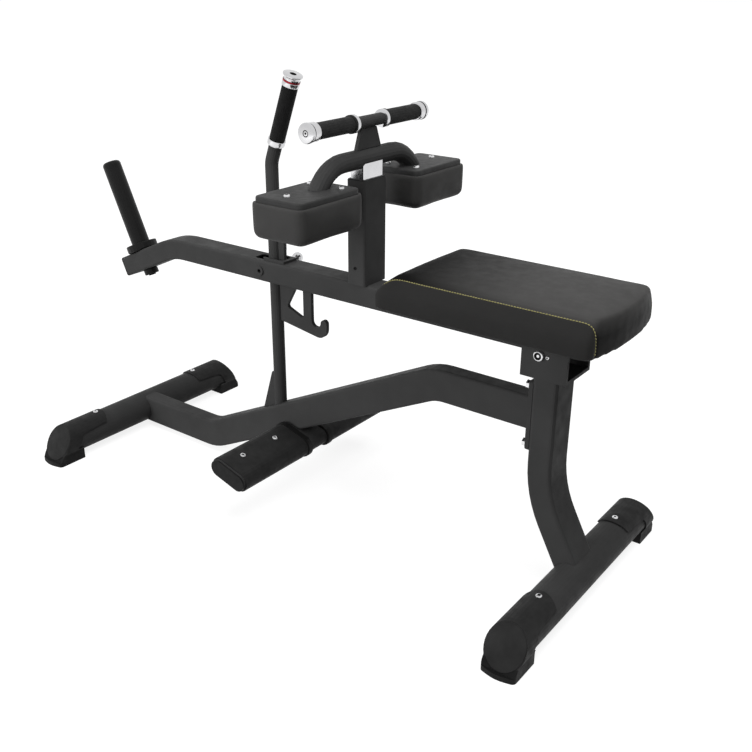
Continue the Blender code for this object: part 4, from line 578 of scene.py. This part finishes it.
def pick_faces(piece, wanted):
    """Selects, in edit mode, the faces for which wanted(face) holds."""
    mesh = bmesh.from_edit_mesh(piece.data)
    for face in mesh.faces:
        face.select_set(False)
    for face in mesh.faces:
        if wanted(face):
            face.select_set(True)
    mesh.select_flush_mode()
    bmesh.update_edit_mesh(piece.data)


def pick_edges(piece, wanted):
    """Selects, in edit mode, the edges for which wanted(one end, other end) holds."""
    mesh = bmesh.from_edit_mesh(piece.data)
    for edge in mesh.edges:
        edge.select_set(wanted(edge.verts[0].co, edge.verts[1].co))
    bmesh.update_edit_mesh(piece.data)


def apply_modifier(piece, kind, **settings):
    alone(piece)
    bpy.ops.object.modifier_add(type=kind)
    modifier = piece.modifiers[-1]
    for key, value in settings.items():
        setattr(modifier, key, value)
    bpy.ops.object.modifier_apply(modifier=modifier.name)


def settled(piece):
    """Puts the piece's place, turn and scale into its mesh."""
    alone(piece)
    bpy.ops.object.transform_apply(location=True, rotation=True, scale=True)


def finished(piece, name, body, finish, smooth=40.0):
    """The piece at the origin with its place in its mesh, named, painted and riding on its body."""
    settled(piece)
    bpy.ops.object.shade_smooth_by_angle(angle=math.radians(smooth))
    piece.name = name
    piece.data.name = name
    if finish is not None:
        piece.data.materials.clear()
        piece.data.materials.append(FINISHES[finish])
    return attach(piece, body)


def copied(model, matrix):
    """A copy of the model with its own mesh, put in its place."""
    piece = model.copy()
    piece.data = model.data.copy()
    piece.data.transform(matrix)
    bpy.context.scene.collection.objects.link(piece)
    return piece


def joined(pieces):
    deselect()
    for piece in pieces:
        piece.select_set(True)
    bpy.context.view_layer.objects.active = pieces[0]
    if len(pieces) > 1:
        bpy.ops.object.join()
    return pieces[0]


def facing(place, normal):
    """Matrix that puts a model standing on its origin at a place, its +Z along the normal."""
    turn = normal.to_track_quat("Z", "Y").to_matrix().to_4x4()
    return Matrix.Translation(place) @ turn


def turned(rows, own_finish):
    """A closed turned piece along +Z, drawn from a disc by extruding it row by row."""
    rows = [(*row, own_finish)[:3] for row in rows]
    radius, height, _ = rows[0]
    bpy.ops.mesh.primitive_circle_add(
        vertices=TURNED_SIDES, radius=radius * MM, fill_type="NGON",
        location=(0.0, 0.0, height * MM),
    )
    piece = bpy.context.object
    settled(piece)
    edit(piece, "FACE")
    bpy.ops.mesh.select_all(action="SELECT")
    for new_radius, new_height, _ in rows[1:]:
        lift = (0.0, 0.0, (new_height - height) * MM)
        bpy.ops.mesh.extrude_region_move(TRANSFORM_OT_translate={"value": lift})
        share = new_radius / radius
        bpy.ops.transform.resize(
            value=(share, share, 1.0), center_override=(0.0, 0.0, new_height * MM)
        )
        radius, height = new_radius, new_height
    bpy.ops.mesh.select_all(action="SELECT")
    bpy.ops.mesh.normals_make_consistent(inside=False)
    done()
    bands = [
        ((first[0] + last[0]) / 2 * MM, (first[1] + last[1]) / 2 * MM, last[2])
        for first, last in zip(rows, rows[1:])
    ]
    finishes = sorted({row[2] for row in rows})
    for finish in finishes:
        piece.data.materials.append(FINISHES[finish])
    for face in piece.data.polygons:
        reach, up = math.hypot(face.center.x, face.center.y), face.center.z
        nearest = min(bands, key=lambda band: math.hypot(band[0] - reach, band[1] - up))
        face.material_index = finishes.index(nearest[2])
    return piece


def solid_copy(node, name):
    """A merged copy of a node's own solid, to start a new piece from."""
    piece = bpy.data.objects.new(name, frame["nodes"][node].data.copy())
    bpy.context.scene.collection.objects.link(piece)
    edit(piece)
    bpy.ops.mesh.customdata_custom_splitnormals_clear()
    bpy.ops.mesh.select_all(action="SELECT")
    bpy.ops.mesh.remove_doubles(threshold=WELD_DISTANCE)
    bpy.ops.mesh.normals_make_consistent(inside=False)
    done()
    return piece


def slab(low, high):
    """A block from one corner to the other, to be shaped further."""
    bpy.ops.mesh.primitive_cube_add(size=1.0, location=(low + high) / 2)
    piece = bpy.context.object
    piece.scale = high - low
    settled(piece)
    return piece


def rounded_edges(piece, wanted, radius, segments=5):
    """Bevels the edges for which wanted(one end, other end) holds."""
    edit(piece, "EDGE")
    pick_edges(piece, wanted)
    bpy.ops.mesh.bevel(offset=radius, segments=segments, affect="EDGES")
    done()


def upright_edge(first, second):
    return abs(first.x - second.x) < WELD_DISTANCE and abs(first.y - second.y) < WELD_DISTANCE


def remeshed(piece, take_in, voxel):
    """The piece in even small faces, taken in a little, ready to be stuffed."""
    apply_modifier(piece, "REMESH", mode="VOXEL", voxel_size=voxel)
    edit(piece)
    bpy.ops.mesh.select_all(action="SELECT")
    bpy.ops.mesh.vertices_smooth(factor=0.5)
    bpy.ops.transform.shrink_fatten(value=-take_in)
    done()


def evened(piece, moves, held):
    """The moves averaged over and over with those of the points beside them, but for the held."""
    beside = [[] for _ in moves]
    for edge in piece.data.edges:
        first, second = edge.vertices
        beside[first].append(second)
        beside[second].append(first)
    for _ in range(EVEN_ROUNDS):
        moves = [
            Vector() if index in held
            else sum((moves[other] for other in beside[index]), move) / (len(beside[index]) + 1)
            for index, move in enumerate(moves)
        ]
    return moves


def stuff(piece, rest_normal, swell):
    """Blows the cover up by cloth simulation, held where it lies on its board."""
    held = piece.vertex_groups.new(name="held")
    still = [v.index for v in piece.data.vertices if v.normal.dot(rest_normal) > REST_FACE]
    held.add(still, 1.0, "REPLACE")
    start = [v.co.copy() for v in piece.data.vertices]
    outwards = [v.normal.copy() for v in piece.data.vertices]
    alone(piece)
    bpy.ops.object.modifier_add(type="CLOTH")
    cloth = piece.modifiers[-1]
    cloth.settings.use_pressure = True
    cloth.settings.uniform_pressure_force = STUFFING_PRESSURE
    cloth.settings.effector_weights.gravity = 0.0
    cloth.settings.vertex_group_mass = held.name
    cloth.point_cache.frame_start = 1
    cloth.point_cache.frame_end = STUFFING_FRAMES
    for step in range(1, STUFFING_FRAMES + 1):
        bpy.context.scene.frame_set(step)
    bpy.ops.object.modifier_apply(modifier=cloth.name)
    bpy.context.scene.frame_set(1)
    moves = []
    for vertex, before, outward in zip(piece.data.vertices, start, outwards):
        move = vertex.co - before
        move -= outward * min(move.dot(outward), 0.0)
        if move.length > swell:
            move = move.normalized() * swell
        moves.append(move)
    moves = evened(piece, moves, set(still))
    for vertex, before, move in zip(piece.data.vertices, start, moves):
        vertex.co = before + move
    piece.vertex_groups.clear()


def rested(piece, node, rest_normal, rim):
    """Lays the cover flat, with a rim this high, on the face on which its solid rests."""
    low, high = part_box(node)
    for vertex in piece.data.vertices:
        if rest_normal.z < 0 and vertex.co.z < low.z + rim:
            vertex.co.z = low.z
        if rest_normal.z > 0 and vertex.co.z > high.z - rim:
            vertex.co.z = high.z


def cushion(piece, node, voxel, rest_normal):
    """Makes the piece a stuffed cover in the place of the node."""
    sizes = bpy.context.scene.machine_sizes
    remeshed(piece, sizes.take_in, voxel)
    stuff(piece, rest_normal, sizes.swell)
    rested(piece, node, rest_normal, sizes.take_in + REST_RIM * voxel)
    apply_modifier(piece, "SUBSURF", levels=1, render_levels=1)


def surface_of(piece):
    return BVHTree.FromObject(piece, bpy.context.evaluated_depsgraph_get())


def spaced(line, step):
    """Points at equal steps along a line of (place, normal)."""
    row = [line[0]]
    short = step
    for (start, lower), (end, upper) in zip(line, line[1:]):
        length = (end - start).length
        gone = short
        while gone < length:
            share = gone / length
            row.append((start.lerp(end, share), lower.lerp(upper, share).normalized()))
            gone += step
        short = gone - length
    return row


def pressed(piece, line, depth):
    """Presses a groove into the piece along the line."""
    tree = KDTree(len(line))
    for index, (place, _) in enumerate(line):
        tree.insert(place, index)
    tree.balance()
    for vertex in piece.data.vertices:
        _, index, distance = tree.find(vertex.co)
        if distance < GROOVE_REACH:
            share = 1.0 - (distance / GROOVE_REACH) ** 2
            vertex.co -= line[index][1] * depth * share * share


def seam_line(surface, side):
    """The seam's points and normals on one side: up the front, along the top, down the back."""
    y = side * SEAM_Y
    rays = []
    low = round((SEAM_CORE_Z - SEAM_FOOT_Z) / SEAM_STEP)
    for index in range(low):
        rays.append((SEAM_FRONT_X, SEAM_FOOT_Z + index * SEAM_STEP, -1.0, 0.0))
    for index in range(SEAM_TURNS):
        angle = math.pi * (1.0 - index / SEAM_TURNS / 2)
        rays.append((SEAM_FRONT_X, SEAM_CORE_Z, math.cos(angle), math.sin(angle)))
    for index in range(round((SEAM_REAR_X - SEAM_FRONT_X) / SEAM_STEP)):
        rays.append((SEAM_FRONT_X + index * SEAM_STEP, SEAM_CORE_Z, 0.0, 1.0))
    for index in range(SEAM_TURNS):
        angle = math.pi / 2 * (1.0 - index / SEAM_TURNS)
        rays.append((SEAM_REAR_X, SEAM_CORE_Z, math.cos(angle), math.sin(angle)))
    for index in range(low):
        rays.append((SEAM_REAR_X, SEAM_CORE_Z - index * SEAM_STEP, 1.0, 0.0))
    line = []
    for x, z, along, up in rays:
        place, normal, _, _ = surface.ray_cast(Vector((x, y, z)), Vector((along, 0.0, up)))
        if place is None:
            raise RuntimeError("the seam misses the seat")
        line.append((place, normal))
    return line


def stitch(radius, length):
    """One stitch along X: a short thread whose ends dive into the cover."""
    bpy.ops.mesh.primitive_cylinder_add(
        vertices=STITCH_SIDES, radius=radius, depth=length, rotation=(0.0, math.pi / 2, 0.0)
    )
    piece = bpy.context.object
    settled(piece)
    edit(piece, "EDGE")
    pick_edges(piece, lambda first, second: abs(first.x - second.x) > length / 2)
    bpy.ops.mesh.subdivide(number_cuts=STITCH_CUTS)
    mesh = bmesh.from_edit_mesh(piece.data)
    for vertex in mesh.verts:
        share = abs(vertex.co.x) / (length / 2)
        vertex.co.z -= radius * STITCH_DIVE * share**3
        vertex.co.y *= 1.0 - STITCH_TAPER * share**4
    bmesh.update_edit_mesh(piece.data)
    done()
    return piece


class MACHINE_OT_finishes(bpy.types.Operator):
    """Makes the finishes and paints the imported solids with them"""

    bl_idname = "machine.finishes"
    bl_label = "Paint the solids"

    def execute(self, context):
        make_finishes(context.scene.machine_colours)
        for row in frame["record"]["subparts"]:
            node = frame["nodes"][row["node"]]
            own = OWN_FINISHES.get(row["node"], row["material_slot"])
            for slot in node.material_slots:
                slot.material = FINISHES[own]
        return {"FINISHED"}


class MACHINE_OT_seat(bpy.types.Operator):
    """Stuffs and sews the seat cushion"""

    bl_idname = "machine.seat"
    bl_label = "Seat cushion"

    def execute(self, context):
        sizes = context.scene.machine_sizes
        seat = solid_copy("seat_cushion", "seat_cover")
        half_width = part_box("seat_cushion")[1].y
        for vertex in seat.data.vertices:
            if vertex.co.x < SEAT_MIDDLE_X:
                vertex.co.x -= SEAT_FRONT_BOW * (vertex.co.y / half_width) ** 2
        apply_modifier(
            seat, "BEVEL", width=sizes.seat_edge, segments=3, limit_method="ANGLE",
            angle_limit=SEAT_SHARP,
        )
        cushion(seat, "seat_cushion", sizes.seat_voxel, -UP)
        surface = surface_of(seat)
        for _, side in SIDES:
            pressed(seat, spaced(seam_line(surface, side), SEAM_STEP), sizes.seam_groove)
        seat.data.update()
        surface = surface_of(seat)
        finished(seat, "seat_cover", "lever", None, smooth=60.0)
        seat.data.materials.clear()
        # The centre panel gets the vinyl with painted sheen and shade; the side panels get the
        # plain side vinyl.
        for finish in ("vinyl", "side_vinyl"):
            seat.data.materials.append(FINISHES[finish])
        for face in seat.data.polygons:
            face.material_index = int(abs(face.center.y) > SEAM_Y)
        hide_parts("seat_cushion")
        for word, side in SIDES:
            self.sew(surface, word, side, sizes)
        return {"FINISHED"}

    def sew(self, surface, word, side, sizes):
        """The row of contrast stitches along one seam."""
        pitch = sizes.stitch_pitch
        radius = sizes.thread_radius
        model = stitch(radius, pitch * STITCH_SHARE)
        line = spaced(seam_line(surface, side), pitch)
        stitches = []
        for (start, lower), (end, upper) in zip(line, line[1:]):
            along = (end - start).normalized()
            normal = (lower + upper).normalized()
            across = normal.cross(along).normalized()
            normal = along.cross(across).normalized()
            turn = Matrix((along, across, normal)).transposed().to_4x4()
            place = (start + end) / 2 + normal * radius * STITCH_PROUD
            stitches.append(copied(model, Matrix.Translation(place) @ turn))
        bpy.data.objects.remove(model)
        row = joined(stitches)
        finished(row, f"seat_stitches_{word}", "lever", "thread", smooth=70.0)


class MACHINE_OT_knee_pads(bpy.types.Operator):
    """Stuffs the two knee pads"""

    bl_idname = "machine.knee_pads"
    bl_label = "Knee pads"

    def execute(self, context):
        sizes = context.scene.machine_sizes
        for word, _ in SIDES:
            node = f"knee_pad_{word}"
            low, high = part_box(node)
            pad = slab(low, high)
            rounded_edges(pad, upright_edge, sizes.pad_corner, segments=6)
            rounded_edges(
                pad, lambda first, second: max(first.z, second.z) < low.z + MM, sizes.pad_edge
            )
            cushion(pad, node, sizes.pad_voxel, UP)
            finished(pad, f"pad_cover_{word}", "yoke", "pad_vinyl", smooth=60.0)
            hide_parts(node)
        return {"FINISHED"}


class MACHINE_OT_pad_plates(bpy.types.Operator):
    """Moulds the plates above the knee pads, with rounded corners and a rounded top edge"""

    bl_idname = "machine.pad_plates"
    bl_label = "Pad plates"

    def execute(self, context):
        edge = context.scene.machine_sizes.plate_edge
        for word, _ in SIDES:
            node = f"pad_plate_{word}"
            low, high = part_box(node)
            board = slab(low, high)
            rounded_edges(board, upright_edge, PLATE_CORNER, segments=8)
            rounded_edges(
                board, lambda first, second: min(first.z, second.z) > high.z - MM, edge
            )
            finished(board, f"pad_board_{word}", "yoke", "black_plastic")
            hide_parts(node)
        return {"FINISHED"}


class MACHINE_OT_turned_parts(bpy.types.Operator):
    """Turns the rings and caps of the upright and the handlebar, and the pivot's axle"""

    bl_idname = "machine.turned_parts"
    bl_label = "Rings, caps and axle"

    def execute(self, context):
        for rows, node, start in (
            (UPRIGHT_RING, "upright_ring", UPRIGHT_RING_START),
            (UPRIGHT_CAP, "upright_cap", UPRIGHT_CAP_START),
        ):
            self.put(rows, node, "frame", "chrome", LEAN_BASE + LEAN * start, LEAN)
        self.put(AXLE, "pivot_axle", "frame", "bright_steel", AXLE_PLACE, -ALONG_Y)
        for word, side in SIDES:
            outwards = side * ALONG_Y
            for rows, kind, start in (
                (BAR_RING, "bar_ring", BAR_RING_Y), (BAR_CAP, "bar_cap", BAR_CAP_Y),
            ):
                place = BAR_PLACE + outwards * start
                self.put(rows, f"{kind}_{word}", "yoke", "chrome", place, outwards)
        return {"FINISHED"}

    def put(self, rows, node, body, slot, place, along):
        """Turns a piece and puts it in the place of its node."""
        piece = turned(rows, slot)
        piece.data.transform(facing(place, along))
        finished(piece, f"{node}_turned", body, None, smooth=30.0)
        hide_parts(node)


class MACHINE_OT_strip_top(bpy.types.Operator):
    """Lengthens the hook plate's strip upwards behind the upright, with rounded upper corners"""

    bl_idname = "machine.strip_top"
    bl_label = "Strip behind the upright"

    def execute(self, context):
        half = STRIP_THICKNESS / 2
        strip = slab(
            Vector((STRIP_FRONT_X, -half, STRIP_LOW_Z)), Vector((STRIP_REAR_X, half, STRIP_HIGH_Z))
        )
        rounded_edges(strip, self.upper_rear, STRIP_CORNER)
        finished(strip, "strip_top", "frame", "frame_paint")
        return {"FINISHED"}

    @staticmethod
    def upper_rear(first, second):
        """Whether an edge of the strip runs across its upper rear corner."""
        middle = (STRIP_FRONT_X + STRIP_REAR_X) / 2
        return min(first.x, second.x) > middle and min(first.z, second.z) > STRIP_HIGH_Z - MM


class MACHINE_OT_wrap_collars(bpy.types.Operator):
    """Puts the thicker collars round the inner ends of the footrest's wraps"""

    bl_idname = "machine.wrap_collars"
    bl_label = "Footrest collars"

    def execute(self, context):
        for word, side in SIDES:
            node = f"footrest_wrap_{word}"
            inner = min(abs(corner.y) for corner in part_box(node))
            collar = solid_copy(node, f"wrap_collar_{word}")
            edit(collar)
            bpy.ops.mesh.select_all(action="SELECT")
            bpy.ops.mesh.bisect(
                plane_co=(0.0, side * (inner + COLLAR_LENGTH), 0.0), plane_no=(0.0, side, 0.0),
                use_fill=True, clear_outer=True,
            )
            bpy.ops.mesh.select_all(action="SELECT")
            bpy.ops.transform.shrink_fatten(value=COLLAR_PROUD, use_even_offset=True)
            done()
            rounded_edges(collar, self.rim, COLLAR_ROUND, segments=3)
            finished(collar, f"wrap_collar_{word}", "frame", "plug")
        return {"FINISHED"}

    @staticmethod
    def rim(first, second):
        """Whether an edge runs round an end of the collar, and not along it."""
        return abs(first.y - second.y) < WELD_DISTANCE


class MACHINE_OT_boot_discs(bpy.types.Operator):
    """Puts the moulded round faces on the boots' sloping ends"""

    bl_idname = "machine.boot_discs"
    bl_label = "Boot discs"

    def execute(self, context):
        model = turned(BOOT_DISC, "boot_disc")
        model.data.transform(Matrix.Diagonal((1.0, BOOT_DISC_RISE, 1.0, 1.0)))
        rise = BOOT_DISC_Z - FOOT_AXIS_Z
        out = BOOT_FACE_OUT - math.tan(BOOT_FACE_TILT) * rise
        discs = []
        for x in (-FOOT_X, FOOT_X):
            for _, side in SIDES:
                normal = Vector((0.0, side * math.cos(BOOT_FACE_TILT), math.sin(BOOT_FACE_TILT)))
                across = Vector((side, 0.0, 0.0))
                turn = Matrix((across, normal.cross(across), normal)).transposed().to_4x4()
                place = Matrix.Translation((x, side * out, BOOT_DISC_Z))
                discs.append(copied(model, place @ turn))
        bpy.data.objects.remove(model)
        finished(joined(discs), "boot_discs", "frame", None, smooth=30.0)
        return {"FINISHED"}


def button_screw(radius, outside):
    """A button head screw with a hexagonal socket painted dark as shade, standing on the origin."""
    bpy.ops.mesh.primitive_cylinder_add(
        vertices=SCREW_SIDES, radius=radius, depth=SCREW_HEIGHT,
        location=(0.0, 0.0, SCREW_HEIGHT / 2),
    )
    piece = bpy.context.object
    settled(piece)
    edit(piece, "FACE")
    pick_faces(piece, lambda face: face.normal.z > LEVEL)
    bpy.ops.mesh.bevel(offset=SCREW_HEIGHT * SCREW_DOME, segments=4, profile=0.5, affect="EDGES")
    pick_faces(piece, lambda face: face.normal.z > LEVEL and len(face.verts) == SCREW_SIDES)
    bpy.ops.mesh.inset(thickness=radius * SCREW_RIM)
    mesh = bmesh.from_edit_mesh(piece.data)
    for vertex in mesh.verts:
        if vertex.select:
            angle = math.atan2(vertex.co.y, vertex.co.x) % SIXTH_TURN - SIXTH_TURN / 2
            reach = radius * SOCKET_REACH * math.cos(SIXTH_TURN / 2) / math.cos(angle)
            vertex.co.x, vertex.co.y = vertex.co.xy.normalized() * reach
    bmesh.update_edit_mesh(piece.data)
    drop = (0.0, 0.0, -SCREW_HEIGHT * SOCKET_DEPTH)
    bpy.ops.mesh.extrude_region_move(TRANSFORM_OT_translate={"value": drop})
    done()
    # The socket's faces get painted shade.
    for finish in (outside, "recess"):
        piece.data.materials.append(FINISHES[finish])
    for face in piece.data.polygons:
        reach = math.hypot(face.center.x, face.center.y)
        face.material_index = int(reach < radius * SOCKET_EDGE and face.center.z > 0.0)
    return piece


def screwed(model, node, start, direction):
    """A copy of the screw where a line from start meets the node, sunk into it a little."""
    mesh = frame["nodes"][node].data
    corners = [vertex.co for vertex in mesh.vertices]
    surface = BVHTree.FromPolygons(corners, [list(face.vertices) for face in mesh.polygons])
    place, normal, _, _ = surface.ray_cast(start, direction)
    if place is None:
        raise RuntimeError(f"nothing of {node} lies there")
    return copied(model, facing(place - normal * SCREW_SINK, normal))


def screwed_down(model, node, x, y):
    """The same from above."""
    return screwed(model, node, Vector((x, y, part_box(node)[1].z + RAY_ABOVE)), -UP)


class MACHINE_OT_screws(bpy.types.Operator):
    """Puts button head screws into the boots, the wraps, the pad plates, the pivot and the post"""

    bl_idname = "machine.screws"
    bl_label = "Screws"

    def execute(self, context):
        radius = context.scene.machine_sizes.screw_radius
        bright = button_screw(radius, "bright_steel")
        dark = button_screw(radius * SMALL_SCREW, "satin_black")
        small = button_screw(radius * SMALL_SCREW, "bright_steel")
        domed = button_screw(radius, "bright_steel")
        domed.data.transform(Matrix.Diagonal((1.0, 1.0, DOME_RISE, 1.0)))
        screws = [
            screwed_down(bright, f"boot_{foot}_{word}", x, side * BOOT_SCREW_Y)
            for foot, x in (("front", -FOOT_X), ("rear", FOOT_X))
            for word, side in SIDES
        ]
        screws += [
            screwed_down(bright, f"footrest_wrap_{word}", x, side * y)
            for word, side in SIDES
            for x, y in WRAP_SCREWS
        ]
        beside = Vector((KEEPER_SCREW_X, -RAY_BESIDE_Y, KEEPER_SCREW_Z))
        screws.append(screwed(small, "pivot_channel", beside, ALONG_Y))
        self.placed(screws, "frame")
        self.placed(
            [
                screwed_down(domed, f"pad_plate_{word}", x, side * y)
                for word, side in SIDES
                for x, y in PLATE_SCREWS
            ],
            "yoke",
        )
        self.placed(
            [
                screwed(
                    dark, "knee_post", Vector((POST_SCREW_X, side * RAY_BESIDE_Y, POST_SCREW_Z)),
                    -side * ALONG_Y,
                )
                for _, side in SIDES
            ],
            "lever",
        )
        for used in (bright, dark, small, domed):
            bpy.data.objects.remove(used)
        return {"FINISHED"}

    def placed(self, screws, body):
        finished(joined(screws), f"screws_{body}", body, None, smooth=35.0)


def seen_directly(nodes):
    """1 for camera, mirror and glass rays, which see the white studio, and 0 for the others."""
    path = nodes.node("ShaderNodeLightPath")
    value = path.outputs["Is Camera Ray"]
    for other in ("Is Glossy Ray", "Is Transmission Ray"):
        larger = nodes.node("ShaderNodeMath")
        larger.operation = "MAXIMUM"
        nodes.link(value, larger.inputs[0])
        nodes.link(path.outputs[other], larger.inputs[1])
        value = larger.outputs["Value"]
    return value


def floor_material():
    """White floor that keeps a soft shadow and throws little light back."""
    material = bpy.data.materials.new("studio_floor")
    nodes = Nodes(material)
    distance = nodes.node("ShaderNodeVectorMath")
    distance.operation = "LENGTH"
    nodes.link(nodes.node("ShaderNodeTexCoord").outputs["Object"], distance.inputs[0])
    strength = nodes.ranged(
        distance.outputs["Value"], FLOOR_GLOW_NEAR, FLOOR_GLOW_FAR, GLOW_START, GLOW_END
    )
    glow = nodes.node("ShaderNodeEmission")
    nodes.link(strength, glow.inputs["Strength"])
    matte = nodes.node("ShaderNodeBsdfDiffuse", {"Color": FLOOR_GREY})
    bright = nodes.node("ShaderNodeAddShader")
    nodes.link(glow.outputs["Emission"], bright.inputs[0])
    nodes.link(matte.outputs["BSDF"], bright.inputs[1])
    mix = nodes.node("ShaderNodeMixShader")
    nodes.link(seen_directly(nodes), mix.inputs["Fac"])
    nodes.link(matte.outputs["BSDF"], mix.inputs[1])
    nodes.link(bright.outputs["Shader"], mix.inputs[2])
    output = nodes.node("ShaderNodeOutputMaterial")
    nodes.link(mix.outputs["Shader"], output.inputs["Surface"])
    return material


def studio_world():
    """Weak even light, with a white backdrop where it is seen directly."""
    world = bpy.data.worlds.new("studio")
    nodes = Nodes(world)
    background = nodes.node("ShaderNodeBackground", {"Color": WHITE})
    strength = nodes.ranged(seen_directly(nodes), AMBIENT, 1.0, 0.0, 1.0)
    nodes.link(strength, background.inputs["Strength"])
    output = nodes.node("ShaderNodeOutputWorld")
    nodes.link(background.outputs["Background"], output.inputs["Surface"])
    return world


def soft_light(name, place, target, size, power):
    """A rectangular lamp aimed at its target, which no mirror shows."""
    light = bpy.data.lights.new(name, "AREA")
    light.shape = "RECTANGLE"
    light.size, light.size_y = size
    light.energy = power
    lamp = bpy.data.objects.new(name, light)
    lamp.visible_glossy = False
    bpy.context.scene.collection.objects.link(lamp)
    lamp.location = place
    lamp.rotation_euler = (Vector(target) - Vector(place)).to_track_quat("-Z", "Y").to_euler()


def photograph_camera():
    """The camera in the place from which the photograph was taken."""
    lens = bpy.data.cameras.new("photograph_view")
    lens.sensor_width = SENSOR_MM
    lens.lens = FOCAL_PIXELS / PHOTO_PIXELS * SENSOR_MM
    lens.clip_start, lens.clip_end = CLIP_START, CLIP_END
    camera = bpy.data.objects.new("photograph_view", lens)
    bpy.context.scene.collection.objects.link(camera)
    sideways = Vector((math.cos(VIEW_AZIMUTH), math.sin(VIEW_AZIMUTH), 0.0))
    level = Vector((-math.sin(VIEW_AZIMUTH), math.cos(VIEW_AZIMUTH), 0.0))
    ahead = level * math.cos(VIEW_PITCH) - UP * math.sin(VIEW_PITCH)
    upward = sideways.cross(ahead)
    right = sideways * math.cos(VIEW_ROLL) + upward * math.sin(VIEW_ROLL)
    top = upward * math.cos(VIEW_ROLL) - sideways * math.sin(VIEW_ROLL)
    turn = Matrix((right, top, -ahead)).transposed().to_4x4()
    camera.matrix_world = Matrix.Translation(VIEW_FROM) @ turn
    return camera


class MACHINE_OT_studio(bpy.types.Operator):
    """Sets the floor, the backdrop, the lamps and the camera"""

    bl_idname = "machine.studio"
    bl_label = "Studio"

    def execute(self, context):
        deselect()
        bpy.ops.mesh.primitive_plane_add(size=FLOOR_SIZE)
        floor = context.object
        floor.name = "studio_floor"
        floor.data.materials.append(floor_material())
        context.scene.world = studio_world()
        soft_light("key_light", *KEY_LIGHT)
        soft_light("top_light", *TOP_LIGHT)
        context.scene.camera = photograph_camera()
        context.scene.view_settings.view_transform = "Standard"
        return {"FINISHED"}


class MACHINE_PT_panel(bpy.types.Panel):
    """Lists the steps in the 3D view's sidebar"""

    bl_label = "Calf raise machine"
    bl_idname = "MACHINE_PT_panel"
    bl_space_type = "VIEW_3D"
    bl_region_type = "UI"
    bl_category = "Calf raise"

    def draw(self, context):
        for group in (context.scene.machine_colours, context.scene.machine_sizes):
            box = self.layout.box()
            for key in type(group).__annotations__:
                box.prop(group, key)
        for step in STEPS:
            self.layout.operator(step.bl_idname)


STEPS = (
    MACHINE_OT_finishes,
    MACHINE_OT_seat,
    MACHINE_OT_knee_pads,
    MACHINE_OT_pad_plates,
    MACHINE_OT_turned_parts,
    MACHINE_OT_strip_top,
    MACHINE_OT_wrap_collars,
    MACHINE_OT_boot_discs,
    MACHINE_OT_screws,
    MACHINE_OT_studio,
)
CLASSES = (MachineColours, MachineSizes, *STEPS, MACHINE_PT_panel)


def register():
    for kind in CLASSES:
        bpy.utils.register_class(kind)
    bpy.types.Scene.machine_colours = bpy.props.PointerProperty(type=MachineColours)
    bpy.types.Scene.machine_sizes = bpy.props.PointerProperty(type=MachineSizes)


def unregister():
    del bpy.types.Scene.machine_sizes
    del bpy.types.Scene.machine_colours
    for kind in reversed(CLASSES):
        bpy.utils.unregister_class(kind)


def main():
    register()
    bpy.ops.machine.finishes()
    bpy.ops.machine.seat()
    bpy.ops.machine.knee_pads()
    bpy.ops.machine.pad_plates()
    bpy.ops.machine.turned_parts()
    bpy.ops.machine.strip_top()
    bpy.ops.machine.wrap_collars()
    bpy.ops.machine.boot_discs()
    bpy.ops.machine.screws()
    bpy.ops.machine.studio()


if __name__ == "__main__":
    main()
